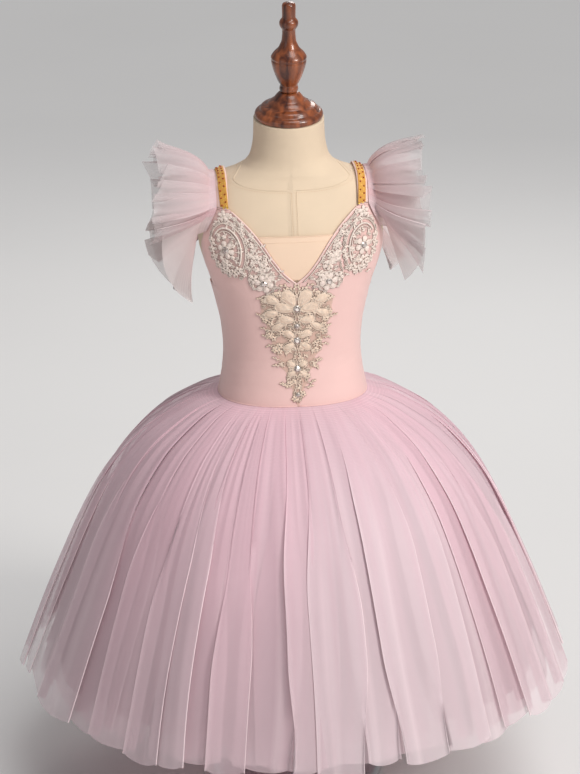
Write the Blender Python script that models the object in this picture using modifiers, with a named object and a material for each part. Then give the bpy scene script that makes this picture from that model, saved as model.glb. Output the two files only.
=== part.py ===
"""A child's ballet dress with a long tulle skirt, worn by a limbless dress form on a stand.

Metres, +Z up. The front of the dress faces -Y, and the origin is the middle of the stand's foot.
Heights in the tables are measured from the seam that joins the bodice to the skirt.
"""

import math
import random
from collections import namedtuple

import bmesh
import bpy
from mathutils import Matrix, Vector
from mathutils.bvhtree import BVHTree

# Driving dimensions

SEAM_HEIGHT = 0.590
SKIRT_DROP = 0.404
HEM_RADIUS = 0.388
SKIRT_SPREAD = 0.285
STRAP_X = 0.0975
CLOTH = 0.0015
TULLE = 0.0012
SEAM_GAP = 0.0004
SIDE_SEAM_TURN = 0.004
BODICE_EASE = 0.0013
BACK_EASE = 0.0016
STRAP_EASE = 0.0017
MERGE = 0.00005

# The dress form

BodySection = namedtuple("BodySection", "height half_width half_depth centre_y squareness")
BODY = [
    BodySection(-0.110, 0.1035, 0.0850, 0.000, 2.30),
    BodySection(-0.060, 0.1045, 0.0860, 0.000, 2.30),
    BodySection(0.000, 0.1010, 0.0835, 0.000, 2.30),
    BodySection(0.030, 0.0955, 0.0790, 0.000, 2.30),
    BodySection(0.066, 0.0925, 0.0760, 0.000, 2.25),
    BodySection(0.100, 0.0950, 0.0775, 0.000, 2.25),
    BodySection(0.130, 0.1010, 0.0800, 0.000, 2.25),
    BodySection(0.160, 0.1085, 0.0820, 0.000, 2.30),
    BodySection(0.190, 0.1190, 0.0825, 0.000, 2.35),
    BodySection(0.220, 0.1265, 0.0800, 0.001, 2.40),
    BodySection(0.250, 0.1275, 0.0740, 0.002, 2.40),
    BodySection(0.280, 0.1220, 0.0650, 0.004, 2.40),
    BodySection(0.298, 0.1140, 0.0590, 0.005, 2.40),
    BodySection(0.309, 0.0985, 0.0560, 0.005, 2.30),
    BodySection(0.316, 0.0785, 0.0540, 0.004, 2.20),
    BodySection(0.324, 0.0625, 0.0520, 0.004, 2.10),
    BodySection(0.338, 0.0530, 0.0495, 0.003, 2.00),
    BodySection(0.360, 0.0488, 0.0475, 0.002, 2.00),
    BodySection(0.400, 0.0474, 0.0465, 0.001, 2.00),
]
TORSO_RINGS = (
    -0.102, -0.050, 0.0, 0.024, 0.048, 0.070, 0.092, 0.114, 0.136, 0.157, 0.176, 0.190,
    0.206, 0.224, 0.242, 0.258, 0.273, 0.285, 0.296, 0.305, 0.312, 0.318, 0.326, 0.340, 0.362,
)
TORSO_SIDES = 28
TORSO_BOTTOM = -0.110
NECK_TOP = 0.386
NECK_TILT = math.radians(8)
UNDERSIDE_INSET = 0.93

# Turned wood: radius and height above the cap's underside, from the top down

TurnedRow = namedtuple("TurnedRow", "radius height")
FINIAL = [
    TurnedRow(0.0000, 0.1615),
    TurnedRow(0.0070, 0.1608),
    TurnedRow(0.0093, 0.1580),
    TurnedRow(0.0090, 0.1435),
    TurnedRow(0.0094, 0.1388),
    TurnedRow(0.0118, 0.1370),
    TurnedRow(0.0132, 0.1326),
    TurnedRow(0.0118, 0.1276),
    TurnedRow(0.0092, 0.1250),
    TurnedRow(0.0088, 0.1200),
    TurnedRow(0.0098, 0.1080),
    TurnedRow(0.0140, 0.0983),
    TurnedRow(0.0205, 0.0920),
    TurnedRow(0.0241, 0.0865),
    TurnedRow(0.0241, 0.0845),
    TurnedRow(0.0228, 0.0828),
    TurnedRow(0.0239, 0.0808),
    TurnedRow(0.0232, 0.0760),
    TurnedRow(0.0212, 0.0686),
    TurnedRow(0.0180, 0.0593),
    TurnedRow(0.0142, 0.0505),
    TurnedRow(0.0112, 0.0460),
    TurnedRow(0.0127, 0.0435),
    TurnedRow(0.0127, 0.0385),
    TurnedRow(0.0112, 0.0368),
    TurnedRow(0.0000, 0.0368),
]
NECK_CAP = [
    TurnedRow(0.0000, 0.0364),
    TurnedRow(0.0125, 0.0364),
    TurnedRow(0.0175, 0.0315),
    TurnedRow(0.0210, 0.0262),
    TurnedRow(0.0232, 0.0252),
    TurnedRow(0.0280, 0.0212),
    TurnedRow(0.0290, 0.0188),
    TurnedRow(0.0365, 0.0172),
    TurnedRow(0.0390, 0.0140),
    TurnedRow(0.0395, 0.0112),
    TurnedRow(0.0440, 0.0100),
    TurnedRow(0.0463, 0.0068),
    TurnedRow(0.0465, 0.0034),
    TurnedRow(0.0450, 0.0000),
    TurnedRow(0.0000, 0.0000),
]
STAND_BASE = [
    TurnedRow(0.0000, 0.0440),
    TurnedRow(0.0170, 0.0440),
    TurnedRow(0.0190, 0.0420),
    TurnedRow(0.0210, 0.0260),
    TurnedRow(0.0260, 0.0230),
    TurnedRow(0.1120, 0.0160),
    TurnedRow(0.1200, 0.0130),
    TurnedRow(0.1250, 0.0060),
    TurnedRow(0.1230, 0.0000),
    TurnedRow(0.0000, 0.0000),
]
POLE_RADIUS = 0.0125
TOUCH = 0.0003

# The bodice: where its edges lie, as distance from the middle at each height

EdgePoint = namedtuple("EdgePoint", "height x")
NECKLINE = [
    EdgePoint(0.1760, 0.0000),
    EdgePoint(0.1870, 0.0130),
    EdgePoint(0.2060, 0.0285),
    EdgePoint(0.2320, 0.0460),
    EdgePoint(0.2500, 0.0605),
    EdgePoint(0.2640, 0.0750),
    EdgePoint(0.2730, 0.0860),
]
FRONT_ARMHOLE = [
    EdgePoint(0.1600, 0.1087),
    EdgePoint(0.1800, 0.1150),
    EdgePoint(0.2000, 0.1212),
    EdgePoint(0.2200, 0.1243),
    EdgePoint(0.2400, 0.1205),
    EdgePoint(0.2580, 0.1120),
    EdgePoint(0.2730, 0.1050),
]
BACK_SCOOP = [
    EdgePoint(0.1570, 0.0000),
    EdgePoint(0.1600, 0.0190),
    EdgePoint(0.1660, 0.0360),
    EdgePoint(0.1760, 0.0510),
    EdgePoint(0.1950, 0.0660),
    EdgePoint(0.2200, 0.0770),
    EdgePoint(0.2500, 0.0860),
]
BACK_ARMHOLE = [
    EdgePoint(0.1600, 0.1087),
    EdgePoint(0.1800, 0.1150),
    EdgePoint(0.2000, 0.1200),
    EdgePoint(0.2200, 0.1190),
    EdgePoint(0.2400, 0.1110),
    EdgePoint(0.2500, 0.1050),
]
V_POINT = 0.1760
SCOOP_POINT = 0.1570
UNDERARM = 0.1620
FRONT_TIP = 0.2730
BACK_TIP = 0.2500
MODESTY_TOP = 0.2396
MODESTY_ROWS = (0.184, 0.190, 0.206, 0.224, MODESTY_TOP)
BINDING_WIDTH = 0.0032
FRONT_ROWS = (
    SEAM_GAP, 0.024, 0.048, 0.070, 0.092, 0.114, 0.136, 0.157,
    V_POINT, 0.190, 0.206, 0.224, 0.242, 0.258, FRONT_TIP,
)
BACK_ROWS = (
    SEAM_GAP, 0.024, 0.048, 0.070, 0.092, 0.114, 0.136,
    SCOOP_POINT, 0.160, 0.166, 0.176, 0.190, 0.206, 0.224, BACK_TIP,
)
PANEL_COLUMNS = TORSO_SIDES // 4 + 1

# The applique, over the bodice front

StoneSpot = namedtuple("StoneSpot", "x height radius sink")
STONES = [
    StoneSpot(-0.0930, 0.2210, 0.0045, 0.0004),
    StoneSpot(0.0930, 0.2210, 0.0045, 0.0004),
    StoneSpot(-0.0435, 0.1765, 0.0045, 0.0000),
    StoneSpot(0.0435, 0.1765, 0.0045, 0.0000),
    StoneSpot(0.0000, 0.1404, 0.0045, 0.0000),
    StoneSpot(0.0000, 0.1150, 0.0030, 0.0000),
    StoneSpot(0.0000, 0.0941, 0.0042, 0.0000),
    StoneSpot(0.0000, 0.0536, 0.0042, 0.0000),
    StoneSpot(0.0000, 0.0176, 0.0028, 0.0000),
]
ROSETTE_HALF_WIDTH = 0.0290
ROSETTE_HALF_HEIGHT = 0.0385
ROSETTE_SPOKES = 20
RosetteRing = namedtuple("RosetteRing", "reach scallop")
ROSETTE_RINGS = [
    RosetteRing(0.09, 0.00),
    RosetteRing(0.46, 0.00),
    RosetteRing(0.68, 0.00),
    RosetteRing(0.93, 0.07),
]
LACE = 0.0010
LACE_GAP = 0.0007
VineRow = namedtuple("VineRow", "height width")
VINE = [
    VineRow(0.1820, 0.016),
    VineRow(0.1880, 0.032),
    VineRow(0.1960, 0.044),
    VineRow(0.2050, 0.043),
    VineRow(0.2140, 0.034),
    VineRow(0.2220, 0.024),
    VineRow(0.2300, 0.015),
    VineRow(0.2380, 0.009),
]
VINE_INSET = 0.0042
VINE_SLANT = Vector((0.80, -0.60))
CascadeRow = namedtuple("CascadeRow", "height half_width")
CASCADE = [
    CascadeRow(0.1680, 0.0060),
    CascadeRow(0.1620, 0.0330),
    CascadeRow(0.1526, 0.0520),
    CascadeRow(0.1400, 0.0480),
    CascadeRow(0.1270, 0.0510),
    CascadeRow(0.1150, 0.0410),
    CascadeRow(0.1030, 0.0440),
    CascadeRow(0.0910, 0.0340),
    CascadeRow(0.0800, 0.0365),
    CascadeRow(0.0690, 0.0250),
    CascadeRow(0.0580, 0.0270),
    CascadeRow(0.0470, 0.0155),
    CascadeRow(0.0360, 0.0170),
    CascadeRow(0.0250, 0.0075),
    CascadeRow(0.0160, 0.0085),
    CascadeRow(0.0060, 0.0015),
]

# The skirt: how far out and down each station is, and how deep the folds are there

SkirtStation = namedtuple("SkirtStation", "out down fold")
SKIRT_PROFILE = [
    SkirtStation(0.00, 0.000, 0.06),
    SkirtStation(0.10, 0.018, 0.14),
    SkirtStation(0.23, 0.064, 0.26),
    SkirtStation(0.38, 0.138, 0.40),
    SkirtStation(0.56, 0.287, 0.58),
    SkirtStation(0.67, 0.430, 0.70),
    SkirtStation(0.77, 0.590, 0.80),
    SkirtStation(0.86, 0.742, 0.89),
    SkirtStation(0.95, 0.907, 0.97),
    SkirtStation(1.00, 1.000, 1.00),
]
SkirtLayer = namedtuple("SkirtLayer", "name folds stations inset seam_drop hem_rise depth seed")
SKIRT_LAYERS = [
    SkirtLayer("skirt_outer", 40, (0, 1, 2, 3, 4, 6, 9), 0.000, 0.0014, 0.000, 0.0115, 11),
    SkirtLayer("skirt_middle", 26, (0, 1, 3, 5, 9), 0.025, 0.0034, 0.008, 0.0075, 23),
    SkirtLayer("skirt_inner", 18, (0, 2, 5, 9), 0.047, 0.0056, 0.028, 0.0060, 37),
]
FoldPoint = namedtuple("FoldPoint", "along depth")
FOLD = [
    FoldPoint(0.05, 0.85),
    FoldPoint(0.60, 1.00),
    FoldPoint(0.84, -1.00),
]
HEM_WANDER = 0.005

# The sleeves: base and reach of each ruffle, turning from the front round to the back

SleeveRuffle = namedtuple(
    "SleeveRuffle",
    "name side front_foot back_foot fan_from fan_to lift_top lift_end droop arch width_top width_end "
    "step folds seed",
)
SLEEVE_RUFFLES = [
    SleeveRuffle("sleeve_upper_left", -1, 0.258, 0.246, -44, 238, 27, 30, 4, 46, 0.086, 0.096, 0.0, 10, 5),
    SleeveRuffle("sleeve_upper_right", 1, 0.258, 0.246, -66, 238, 28, 54, 4, 46, 0.082, 0.098, 0.0, 10, 6),
    SleeveRuffle("sleeve_lower_left", -1, 0.242, 0.212, -80, 256, -8, 80, 5, 20, 0.062, 0.098, 0.0036, 9, 9),
    SleeveRuffle("sleeve_lower_right", 1, 0.242, 0.224, -84, 252, -8, 76, 5, 20, 0.062, 0.080, 0.003, 9, 8),
]
SLEEVE_BASE_X = 0.1056
SLEEVE_OFF_EDGE = 0.0040
SLEEVE_EASE = 0.0042
SLEEVE_DEPTH = 0.0058
SLEEVE_ROWS = (0.0, 0.30, 0.65, 1.0)
SHOULDER_CENTRE = (0.004, 0.256)

COLOURS = {
    "stretch_pink": ((0.86, 0.60, 0.56), 0.62),
    "nude_mesh": ((0.90, 0.74, 0.62), 0.70),
    "tulle_pink": ((0.88, 0.62, 0.68), 0.75),
    "lace_ivory": ((0.86, 0.74, 0.66), 0.60),
    "gold_sequin": ((0.80, 0.52, 0.10), 0.30),
    "crystal": ((0.85, 0.83, 0.82), 0.10),
    "form_linen": ((0.80, 0.70, 0.55), 0.80),
    "walnut": ((0.28, 0.10, 0.05), 0.35),
    "stand_metal": ((0.75, 0.74, 0.72), 0.35),
}


def clear_scene():
    for obj in list(bpy.data.objects):
        bpy.data.objects.remove(obj, do_unlink=True)


def table_value(rows, height, column):
    """A smooth curve through one column of a table whose rows rise in height."""
    xs = [row.height for row in rows]
    ys = [getattr(row, column) for row in rows]
    if height <= xs[0]:
        return ys[0]
    if height >= xs[-1]:
        return ys[-1]
    slopes = [(ys[i + 1] - ys[i]) / (xs[i + 1] - xs[i]) for i in range(len(xs) - 1)]
    tangents = [slopes[0]]
    for before, after in zip(slopes, slopes[1:]):
        steady = before * after > 0
        tangents.append(2 * before * after / (before + after) if steady else 0.0)
    tangents.append(slopes[-1])
    i = max(k for k in range(len(xs) - 1) if xs[k] <= height)
    span = xs[i + 1] - xs[i]
    t = (height - xs[i]) / span
    return (
        (2 * t**3 - 3 * t**2 + 1) * ys[i]
        + (t**3 - 2 * t**2 + t) * span * tangents[i]
        + (3 * t**2 - 2 * t**3) * ys[i + 1]
        + (t**3 - t**2) * span * tangents[i + 1]
    )


def body_size(height, ease):
    """Half width, half depth, centre and squareness of the body at a height, with ease round it."""
    return (
        table_value(BODY, height, "half_width") + ease,
        table_value(BODY, height, "half_depth") + ease,
        table_value(BODY, height, "centre_y"),
        table_value(BODY, height, "squareness"),
    )


def body_point(turn, height, ease):
    """A point round the body: turn 0 is the front, a quarter turn is +X, a half turn is the back."""
    wide, deep, centre, power = body_size(height, ease)
    sine, cosine = math.sin(turn), math.cos(turn)
    x = wide * math.copysign(abs(sine) ** (2 / power), sine)
    y = centre - deep * math.copysign(abs(cosine) ** (2 / power), cosine)
    return Vector((x, y, SEAM_HEIGHT + height))


def turn_of_x(x, height, ease):
    """The turn, from the front, at which the body is x wide."""
    wide, _, _, power = body_size(height, ease)
    return math.asin(min(1.0, (abs(x) / wide) ** (power / 2)))


def straight_edge_x(edge, rows, height):
    """Where a panel's edge lies between two of its rows, along the straight line that joins them."""
    low = max(row for row in rows if row <= height)
    high = min(row for row in rows if row > height)
    share = (height - low) / (high - low)
    return table_value(edge, low, "x") * (1 - share) + table_value(edge, high, "x") * share


def surface_shift(turn, height, ease, across, up):
    """The point reached from a turn and height by going across and up the body's surface."""
    step = 0.01
    chord = body_point(turn + step, height, ease) - body_point(turn - step, height, ease)
    stride = chord.length / (2 * step)
    return body_point(turn + across / stride, height + up, ease)


def material(name):
    colour, roughness = COLOURS[name]
    made = bpy.data.materials.new(name)
    made.use_nodes = True
    shader = made.node_tree.nodes["Principled BSDF"]
    shader.inputs["Base Color"].default_value = (*colour, 1)
    shader.inputs["Roughness"].default_value = roughness
    shader.inputs["Metallic"].default_value = 1.0 if name in ("gold_sequin", "stand_metal") else 0.0
    return made


def add_object(name, mesh, finish, smooth=True):
    mesh.materials.append(bpy.data.materials.get(finish) or material(finish))
    obj = bpy.data.objects.new(name, mesh)
    bpy.data.collections["ballet_dress"].objects.link(obj)
    if smooth:
        mesh.shade_smooth()
        mesh.set_sharp_from_angle(angle=math.radians(40))
    return obj


def lattice(name, rows, finish, closed=False, flip=False, skip=()):
    """An open sheet of quads through rows of points. Cells named in skip are left open."""
    mesh = bpy.data.meshes.new(name)
    build = bmesh.new()
    verts = [[build.verts.new(point) for point in row] for row in rows]
    columns = len(rows[0])
    for r in range(len(rows) - 1):
        for c in range(columns if closed else columns - 1):
            if (r, c) in skip:
                continue
            right = (c + 1) % columns
            corners = [verts[r][c], verts[r][right], verts[r + 1][right], verts[r + 1][c]]
            build.faces.new(corners[::-1] if flip else corners)
    bmesh.ops.remove_doubles(build, verts=build.verts, dist=MERGE)
    loose = [vert for vert in build.verts if not vert.link_faces]
    bmesh.ops.delete(build, geom=loose, context="VERTS")
    build.to_mesh(mesh)
    build.free()
    return add_object(name, mesh, finish)


def give_wall(obj, thickness):
    """Grows the sheet outwards into a wall."""
    wall = obj.modifiers.new("wall", "SOLIDIFY")
    wall.thickness = thickness
    wall.offset = 1.0
    return obj


def mirror_half(obj):
    """Joins a right half, open at the middle plane, to its left half."""
    mirror = obj.modifiers.new("left half", "MIRROR")
    mirror.merge_threshold = 2 * MERGE
    return obj


def loft(name, rings, finish):
    """A closed solid through rings of points, with a flat face at each end."""
    mesh = bpy.data.meshes.new(name)
    build = bmesh.new()
    verts = [[build.verts.new(point) for point in ring] for ring in rings]
    count = len(rings[0])
    for lower, upper in zip(verts, verts[1:]):
        for i in range(count):
            build.faces.new((lower[i], lower[(i + 1) % count], upper[(i + 1) % count], upper[i]))
    build.faces.new(verts[0][::-1])
    build.faces.new(verts[-1])
    build.to_mesh(mesh)
    build.free()
    return add_object(name, mesh, finish)


def turned(name, rows, finish, steps):
    """A solid turned round its own axis from a profile that runs top to bottom."""
    mesh = bpy.data.meshes.new(name)
    build = bmesh.new()
    verts = [build.verts.new((row.radius, 0, row.height)) for row in rows]
    for above, below in zip(verts, verts[1:]):
        build.edges.new((above, below))
    build.to_mesh(mesh)
    build.free()
    obj = add_object(name, mesh, finish, smooth=False)
    screw = obj.modifiers.new("turning", "SCREW")
    screw.steps = screw.render_steps = steps
    screw.use_merge_vertices = True
    screw.merge_threshold = MERGE
    return obj


def make_form():
    """The limbless torso, its turned neck cap and finial, and the stand."""
    turns = [2 * math.pi * i / TORSO_SIDES for i in range(TORSO_SIDES)]
    underside = [body_point(turn, TORSO_BOTTOM, 0) for turn in turns]
    rings = [[Vector((p.x * UNDERSIDE_INSET, p.y * UNDERSIDE_INSET, p.z)) for p in underside]]
    rings += [[body_point(turn, height, 0) for turn in turns] for height in TORSO_RINGS]
    neck_ring = [body_point(turn, NECK_TOP, 0) for turn in turns]
    rings.append([p + Vector((0, 0, p.y * math.tan(NECK_TILT))) for p in neck_ring])
    torso = loft("form_torso", rings, "form_linen")
    cap = turned("form_neck_cap", NECK_CAP, "walnut", 24)
    finial = turned("form_finial", FINIAL, "walnut", 16)
    seat = Vector((0, 0, SEAM_HEIGHT + NECK_TOP))
    seat += Vector((0, -math.sin(NECK_TILT), math.cos(NECK_TILT))) * TOUCH
    for wood in (cap, finial):
        wood.location = seat
        wood.rotation_euler = (NECK_TILT, 0, 0)
    turned("stand_base", STAND_BASE, "stand_metal", 28)
    foot = STAND_BASE[0].height + TOUCH
    top = SEAM_HEIGHT + TORSO_BOTTOM - TOUCH
    mesh = bpy.data.meshes.new("stand_pole")
    build = bmesh.new()
    bmesh.ops.create_cone(
        build, cap_ends=True, segments=20, radius1=POLE_RADIUS, radius2=POLE_RADIUS, depth=top - foot
    )
    build.to_mesh(mesh)
    build.free()
    pole = add_object("stand_pole", mesh, "stand_metal")
    pole.location = (0, 0, (foot + top) / 2)
    return torso


def panel_rows(heights, inner_edge, outer_edge, inner_from, outer_from, ease, back=False):
    """Rows of points for a half panel, from its inner edge to its outer edge at each height."""
    rows = []
    for height in heights:
        inner, outer = 0.0, math.pi / 2 - SIDE_SEAM_TURN
        if height > inner_from:
            inner = turn_of_x(table_value(inner_edge, height, "x"), height, ease)
        if height > outer_from:
            outer = turn_of_x(table_value(outer_edge, height, "x"), height, ease)
        turns = [inner + (outer - inner) * c / (PANEL_COLUMNS - 1) for c in range(PANEL_COLUMNS)]
        if back:
            turns = [math.pi - turn for turn in turns]
        rows.append([body_point(turn, height, ease) for turn in turns])
    return rows


def make_bodice():
    """The front and back panels, the modesty panel in the V and the binding along the neckline."""
    rows = panel_rows(FRONT_ROWS, NECKLINE, FRONT_ARMHOLE, V_POINT, UNDERARM, BODICE_EASE)
    give_wall(mirror_half(lattice("bodice_front", rows, "stretch_pink")), CLOTH)
    rows = panel_rows(BACK_ROWS, BACK_SCOOP, BACK_ARMHOLE, SCOOP_POINT, UNDERARM, BACK_EASE, back=True)
    give_wall(mirror_half(lattice("bodice_back", rows, "stretch_pink", flip=True)), CLOTH)
    rows = []
    for height in MODESTY_ROWS:
        turn = turn_of_x(straight_edge_x(NECKLINE, FRONT_ROWS, height) - 2 * SEAM_GAP, height, BODICE_EASE)
        rows.append([body_point(turn * c / 4, height, BODICE_EASE) for c in range(5)])
    give_wall(mirror_half(lattice("modesty_panel", rows, "nude_mesh")), TULLE)
    make_binding()


def make_binding():
    """A narrow strip that lies on the bodice along the V, from the point to each strap."""
    ease = BODICE_EASE + CLOTH + TOUCH
    count = 12
    heights = [V_POINT + (FRONT_TIP - 0.002 - V_POINT) * i / (count - 1) for i in range(count)]
    inner, outer = [], []
    for i, height in enumerate(heights):
        x = table_value(NECKLINE, height, "x")
        ahead = heights[min(i + 1, count - 1)]
        behind = heights[max(i - 1, 0)]
        rise = ahead - behind
        run = table_value(NECKLINE, ahead, "x") - table_value(NECKLINE, behind, "x")
        away = Vector((rise, -run)).normalized() * BINDING_WIDTH
        if i == 0:
            away = Vector((0, -1.2 * BINDING_WIDTH))
        inner.append(body_point(turn_of_x(x, height, ease), height, ease))
        low = height + away.y
        outer.append(body_point(turn_of_x(x + away.x, low, ease), low, ease))
    rows = [[a, b] for a, b in zip(inner, outer)]
    give_wall(mirror_half(lattice("neck_binding", rows, "stretch_pink")), TULLE)


class Shoulder:
    """Finds points on the form's shoulder by looking in from outside at an angle."""

    def __init__(self, torso):
        bpy.context.view_layer.update()
        self.tree = BVHTree.FromObject(torso, bpy.context.evaluated_depsgraph_get())

    def at(self, x, angle, ease):
        """The point over the shoulder in the plane at x: angle 0 is the front, 90 the top, 180 the back."""
        out = Vector((0, -math.cos(math.radians(angle)), math.sin(math.radians(angle))))
        centre = Vector((x, SHOULDER_CENTRE[0], SEAM_HEIGHT + SHOULDER_CENTRE[1]))
        hit, normal, _, _ = self.tree.ray_cast(centre + out * 0.3, -out)
        return hit + normal * ease

    def angle_at_height(self, x, height, back):
        """The angle at which the shoulder is at that height, on its front or its back."""
        low, high = (-60.0, 90.0) if not back else (90.0, 240.0)
        for _ in range(40):
            middle = (low + high) / 2
            above = self.at(x, middle, 0).z > SEAM_HEIGHT + height
            if above == back:
                low = middle
            else:
                high = middle
        return (low + high) / 2


def make_straps(shoulder):
    """A strap over each shoulder, with the gold trim sewn along it."""
    for side, word in ((-1, "left"), (1, "right")):
        strap_edges = (STRAP_X - 0.0090, STRAP_X, STRAP_X + 0.0090)
        trim_edges = (STRAP_X - 0.0040, STRAP_X + 0.0010, STRAP_X + 0.0060)
        for name, edges, ease, finish, trim in (
            ("strap_" + word, strap_edges, STRAP_EASE, "stretch_pink", 0.0),
            ("trim_" + word, trim_edges, STRAP_EASE + CLOTH + LACE_GAP, "gold_sequin", 0.0005),
        ):
            columns = []
            for x in edges:
                start = shoulder.angle_at_height(x, FRONT_TIP + 2 * SEAM_GAP + trim, back=False)
                end = shoulder.angle_at_height(x, BACK_TIP + 2 * SEAM_GAP + trim, back=True)
                count = 15
                angles = [start + (end - start) * i / (count - 1) for i in range(count)]
                columns.append([shoulder.at(x, angle, ease) for angle in angles])
            rows = [[Vector((side * p.x, p.y, p.z)) for p in row] for row in zip(*columns)]
            give_wall(lattice(name, rows, finish, flip=side < 0), CLOTH)


def fold_wave(folds, seed, irregular=0.22):
    """Fold points round a strip: place along it from 0 to 1, and depth from -1 to 1."""
    source = random.Random(seed)
    pitches = [1 + source.uniform(-irregular, irregular) for _ in range(folds)]
    total = sum(pitches)
    wave = []
    start = 0.0
    for pitch in pitches:
        strength = source.uniform(0.75, 1.0)
        for point in FOLD:
            wave.append((start + pitch / total * point.along, point.depth * strength))
        start += pitch / total
    return wave


def sleeve_base(shoulder, ruffle):
    """Points along the edge that a ruffle is sewn to: up the armhole, over the shoulder, down the back."""
    path = []
    count = 5
    for i in range(count):
        height = ruffle.front_foot + (FRONT_TIP - ruffle.front_foot) * i / count
        turn = turn_of_x(table_value(FRONT_ARMHOLE, height, "x") + SLEEVE_OFF_EDGE, height, SLEEVE_EASE)
        path.append(body_point(turn, height, SLEEVE_EASE))
    start = shoulder.angle_at_height(SLEEVE_BASE_X, FRONT_TIP, back=False)
    end = shoulder.angle_at_height(SLEEVE_BASE_X, BACK_TIP, back=True)
    for i in range(12):
        path.append(shoulder.at(SLEEVE_BASE_X, start + (end - start) * i / 11, SLEEVE_EASE))
    for i in range(1, count + 1):
        height = BACK_TIP + (ruffle.back_foot - BACK_TIP) * i / count
        turn = turn_of_x(table_value(BACK_ARMHOLE, height, "x") + SLEEVE_OFF_EDGE, height, SLEEVE_EASE)
        path.append(body_point(math.pi - turn, height, SLEEVE_EASE))
    return path


def along_path(path, share):
    """The point that lies a share of the way along a path."""
    lengths = [(b - a).length for a, b in zip(path, path[1:])]
    wanted = share * sum(lengths)
    for point, after, length in zip(path, path[1:], lengths):
        if wanted <= length:
            return point.lerp(after, wanted / length)
        wanted -= length
    return path[-1]


def make_ruffle(shoulder, ruffle):
    """One gathered strip of tulle, sewn beside the strap and fanning out from front to back."""
    wave = [(0.0, 0.3), *fold_wave(ruffle.folds, ruffle.seed), (1.0, 0.3)]
    path = sleeve_base(shoulder, ruffle)
    outward = Vector((1, 0, 0))
    rows = [[] for _ in SLEEVE_ROWS]
    for along, depth in wave:
        fan = math.radians(ruffle.fan_from + (ruffle.fan_to - ruffle.fan_from) * along)
        toward_end = abs(2 * along - 1)
        lift = math.radians(ruffle.lift_top + (ruffle.lift_end - ruffle.lift_top) * toward_end**ruffle.droop)
        arch = math.radians(ruffle.arch) * (1 - toward_end**2)
        width = ruffle.width_top + (ruffle.width_end - ruffle.width_top) * toward_end**ruffle.droop
        base = along_path(path, along) + outward * ruffle.step
        radial = Vector((0, -math.cos(fan), math.sin(fan)))
        across = radial.cross(outward).normalized()
        for row, share in enumerate(SLEEVE_ROWS):
            bend = lift + arch * (1 - share) ** 1.5
            direction = outward * math.cos(bend) + radial * math.sin(bend)
            normal = direction.cross(across).normalized()
            point = base + direction * width * share + normal * SLEEVE_DEPTH * depth * share
            rows[row].append(Vector((ruffle.side * point.x, point.y, point.z)))
    return give_wall(lattice(ruffle.name, rows, "tulle_pink", flip=ruffle.side > 0), TULLE)


def make_skirt_layer(layer):
    """A tube of gathered tulle: an oval at the waist seam, a wide round hem, and folds between."""
    wave = fold_wave(layer.folds, layer.seed)
    source = random.Random(layer.seed + 1)
    wander = [source.uniform(-1, 1) for _ in range(layer.folds)]
    rows = []
    for place in layer.stations:
        station = SKIRT_PROFILE[place]
        above = SKIRT_PROFILE[max(place - 1, 0)]
        below = SKIRT_PROFILE[min(place + 1, len(SKIRT_PROFILE) - 1)]
        slope = Vector(((below.out - above.out) * SKIRT_SPREAD, (below.down - above.down) * SKIRT_DROP))
        slope.normalize()
        inset = layer.inset * station.down**0.35
        row = []
        for i, (along, depth) in enumerate(wave):
            turn = 2 * math.pi * along
            seam = body_point(turn, 0, BODICE_EASE + CLOTH / 2)
            heading = Vector((math.sin(turn), -math.cos(turn), 0))
            level = Vector((seam.x, seam.y, 0)).lerp(heading * HEM_RADIUS, station.out)
            point = level + heading * (layer.depth * station.fold * depth - inset * slope.y)
            drop = layer.seam_drop * (1 - station.down) + inset * slope.x
            drop += (SKIRT_DROP - layer.hem_rise) * station.down
            drop += HEM_WANDER * wander[i // len(FOLD)] * station.down**3
            row.append(Vector((point.x, point.y, SEAM_HEIGHT - drop)))
        rows.append(row)
    return give_wall(lattice(layer.name, rows[::-1], "tulle_pink", closed=True), TULLE)


def on_front(x, height, ease):
    """A point of the bodice front, from its distance from the middle and its height."""
    turn = math.copysign(turn_of_x(x, height, ease), x)
    return body_point(turn, height, ease)


def make_rosette(side, word):
    """A scalloped oval of lace round a flower, with a ring of gaps."""
    ease = BODICE_EASE + CLOTH + LACE_GAP
    spot = STONES[1]
    turn = turn_of_x(spot.x, spot.height, ease)
    rows = []
    for ring in ROSETTE_RINGS:
        row = []
        for i in range(ROSETTE_SPOKES):
            angle = 2 * math.pi * i / ROSETTE_SPOKES
            size = ring.reach + ring.scallop * (1 if i % 2 else -1)
            across = ROSETTE_HALF_WIDTH * size * math.cos(angle)
            up = ROSETTE_HALF_HEIGHT * size * math.sin(angle)
            point = surface_shift(turn, spot.height, ease, across, up)
            row.append(Vector((side * point.x, point.y, point.z)))
        rows.append(row)
    gaps = {(1, i) for i in range(0, ROSETTE_SPOKES, 2)}
    obj = lattice("rosette_" + word, rows, "lace_ivory", closed=True, flip=side > 0, skip=gaps)
    return give_wall(obj, LACE)


def make_vine(side, word):
    """A scalloped strip of lace along the neckline, from beside the rosette down to the V point."""
    ease = BODICE_EASE + CLOTH + LACE_GAP
    count = 15
    bottom, top = VINE[0].height, VINE[-1].height
    rows = []
    for i in range(count):
        height = bottom + (top - bottom) * i / (count - 1)
        x = table_value(NECKLINE, height, "x")
        width = table_value(VINE, height, "width") + 0.0016 * (1 if i % 2 else -1)
        row = []
        for share in (0.0, 0.30, 0.64, 1.0):
            spot = Vector((x, height)) + VINE_SLANT * (VINE_INSET + width * share)
            row.append(on_front(side * spot.x, spot.y, ease))
        rows.append(row)
    gaps = {(i, 1) for i in range(2, count - 3, 2)}
    obj = lattice("vine_" + word, rows, "lace_ivory", flip=side < 0, skip=gaps)
    return give_wall(obj, LACE)


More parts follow.
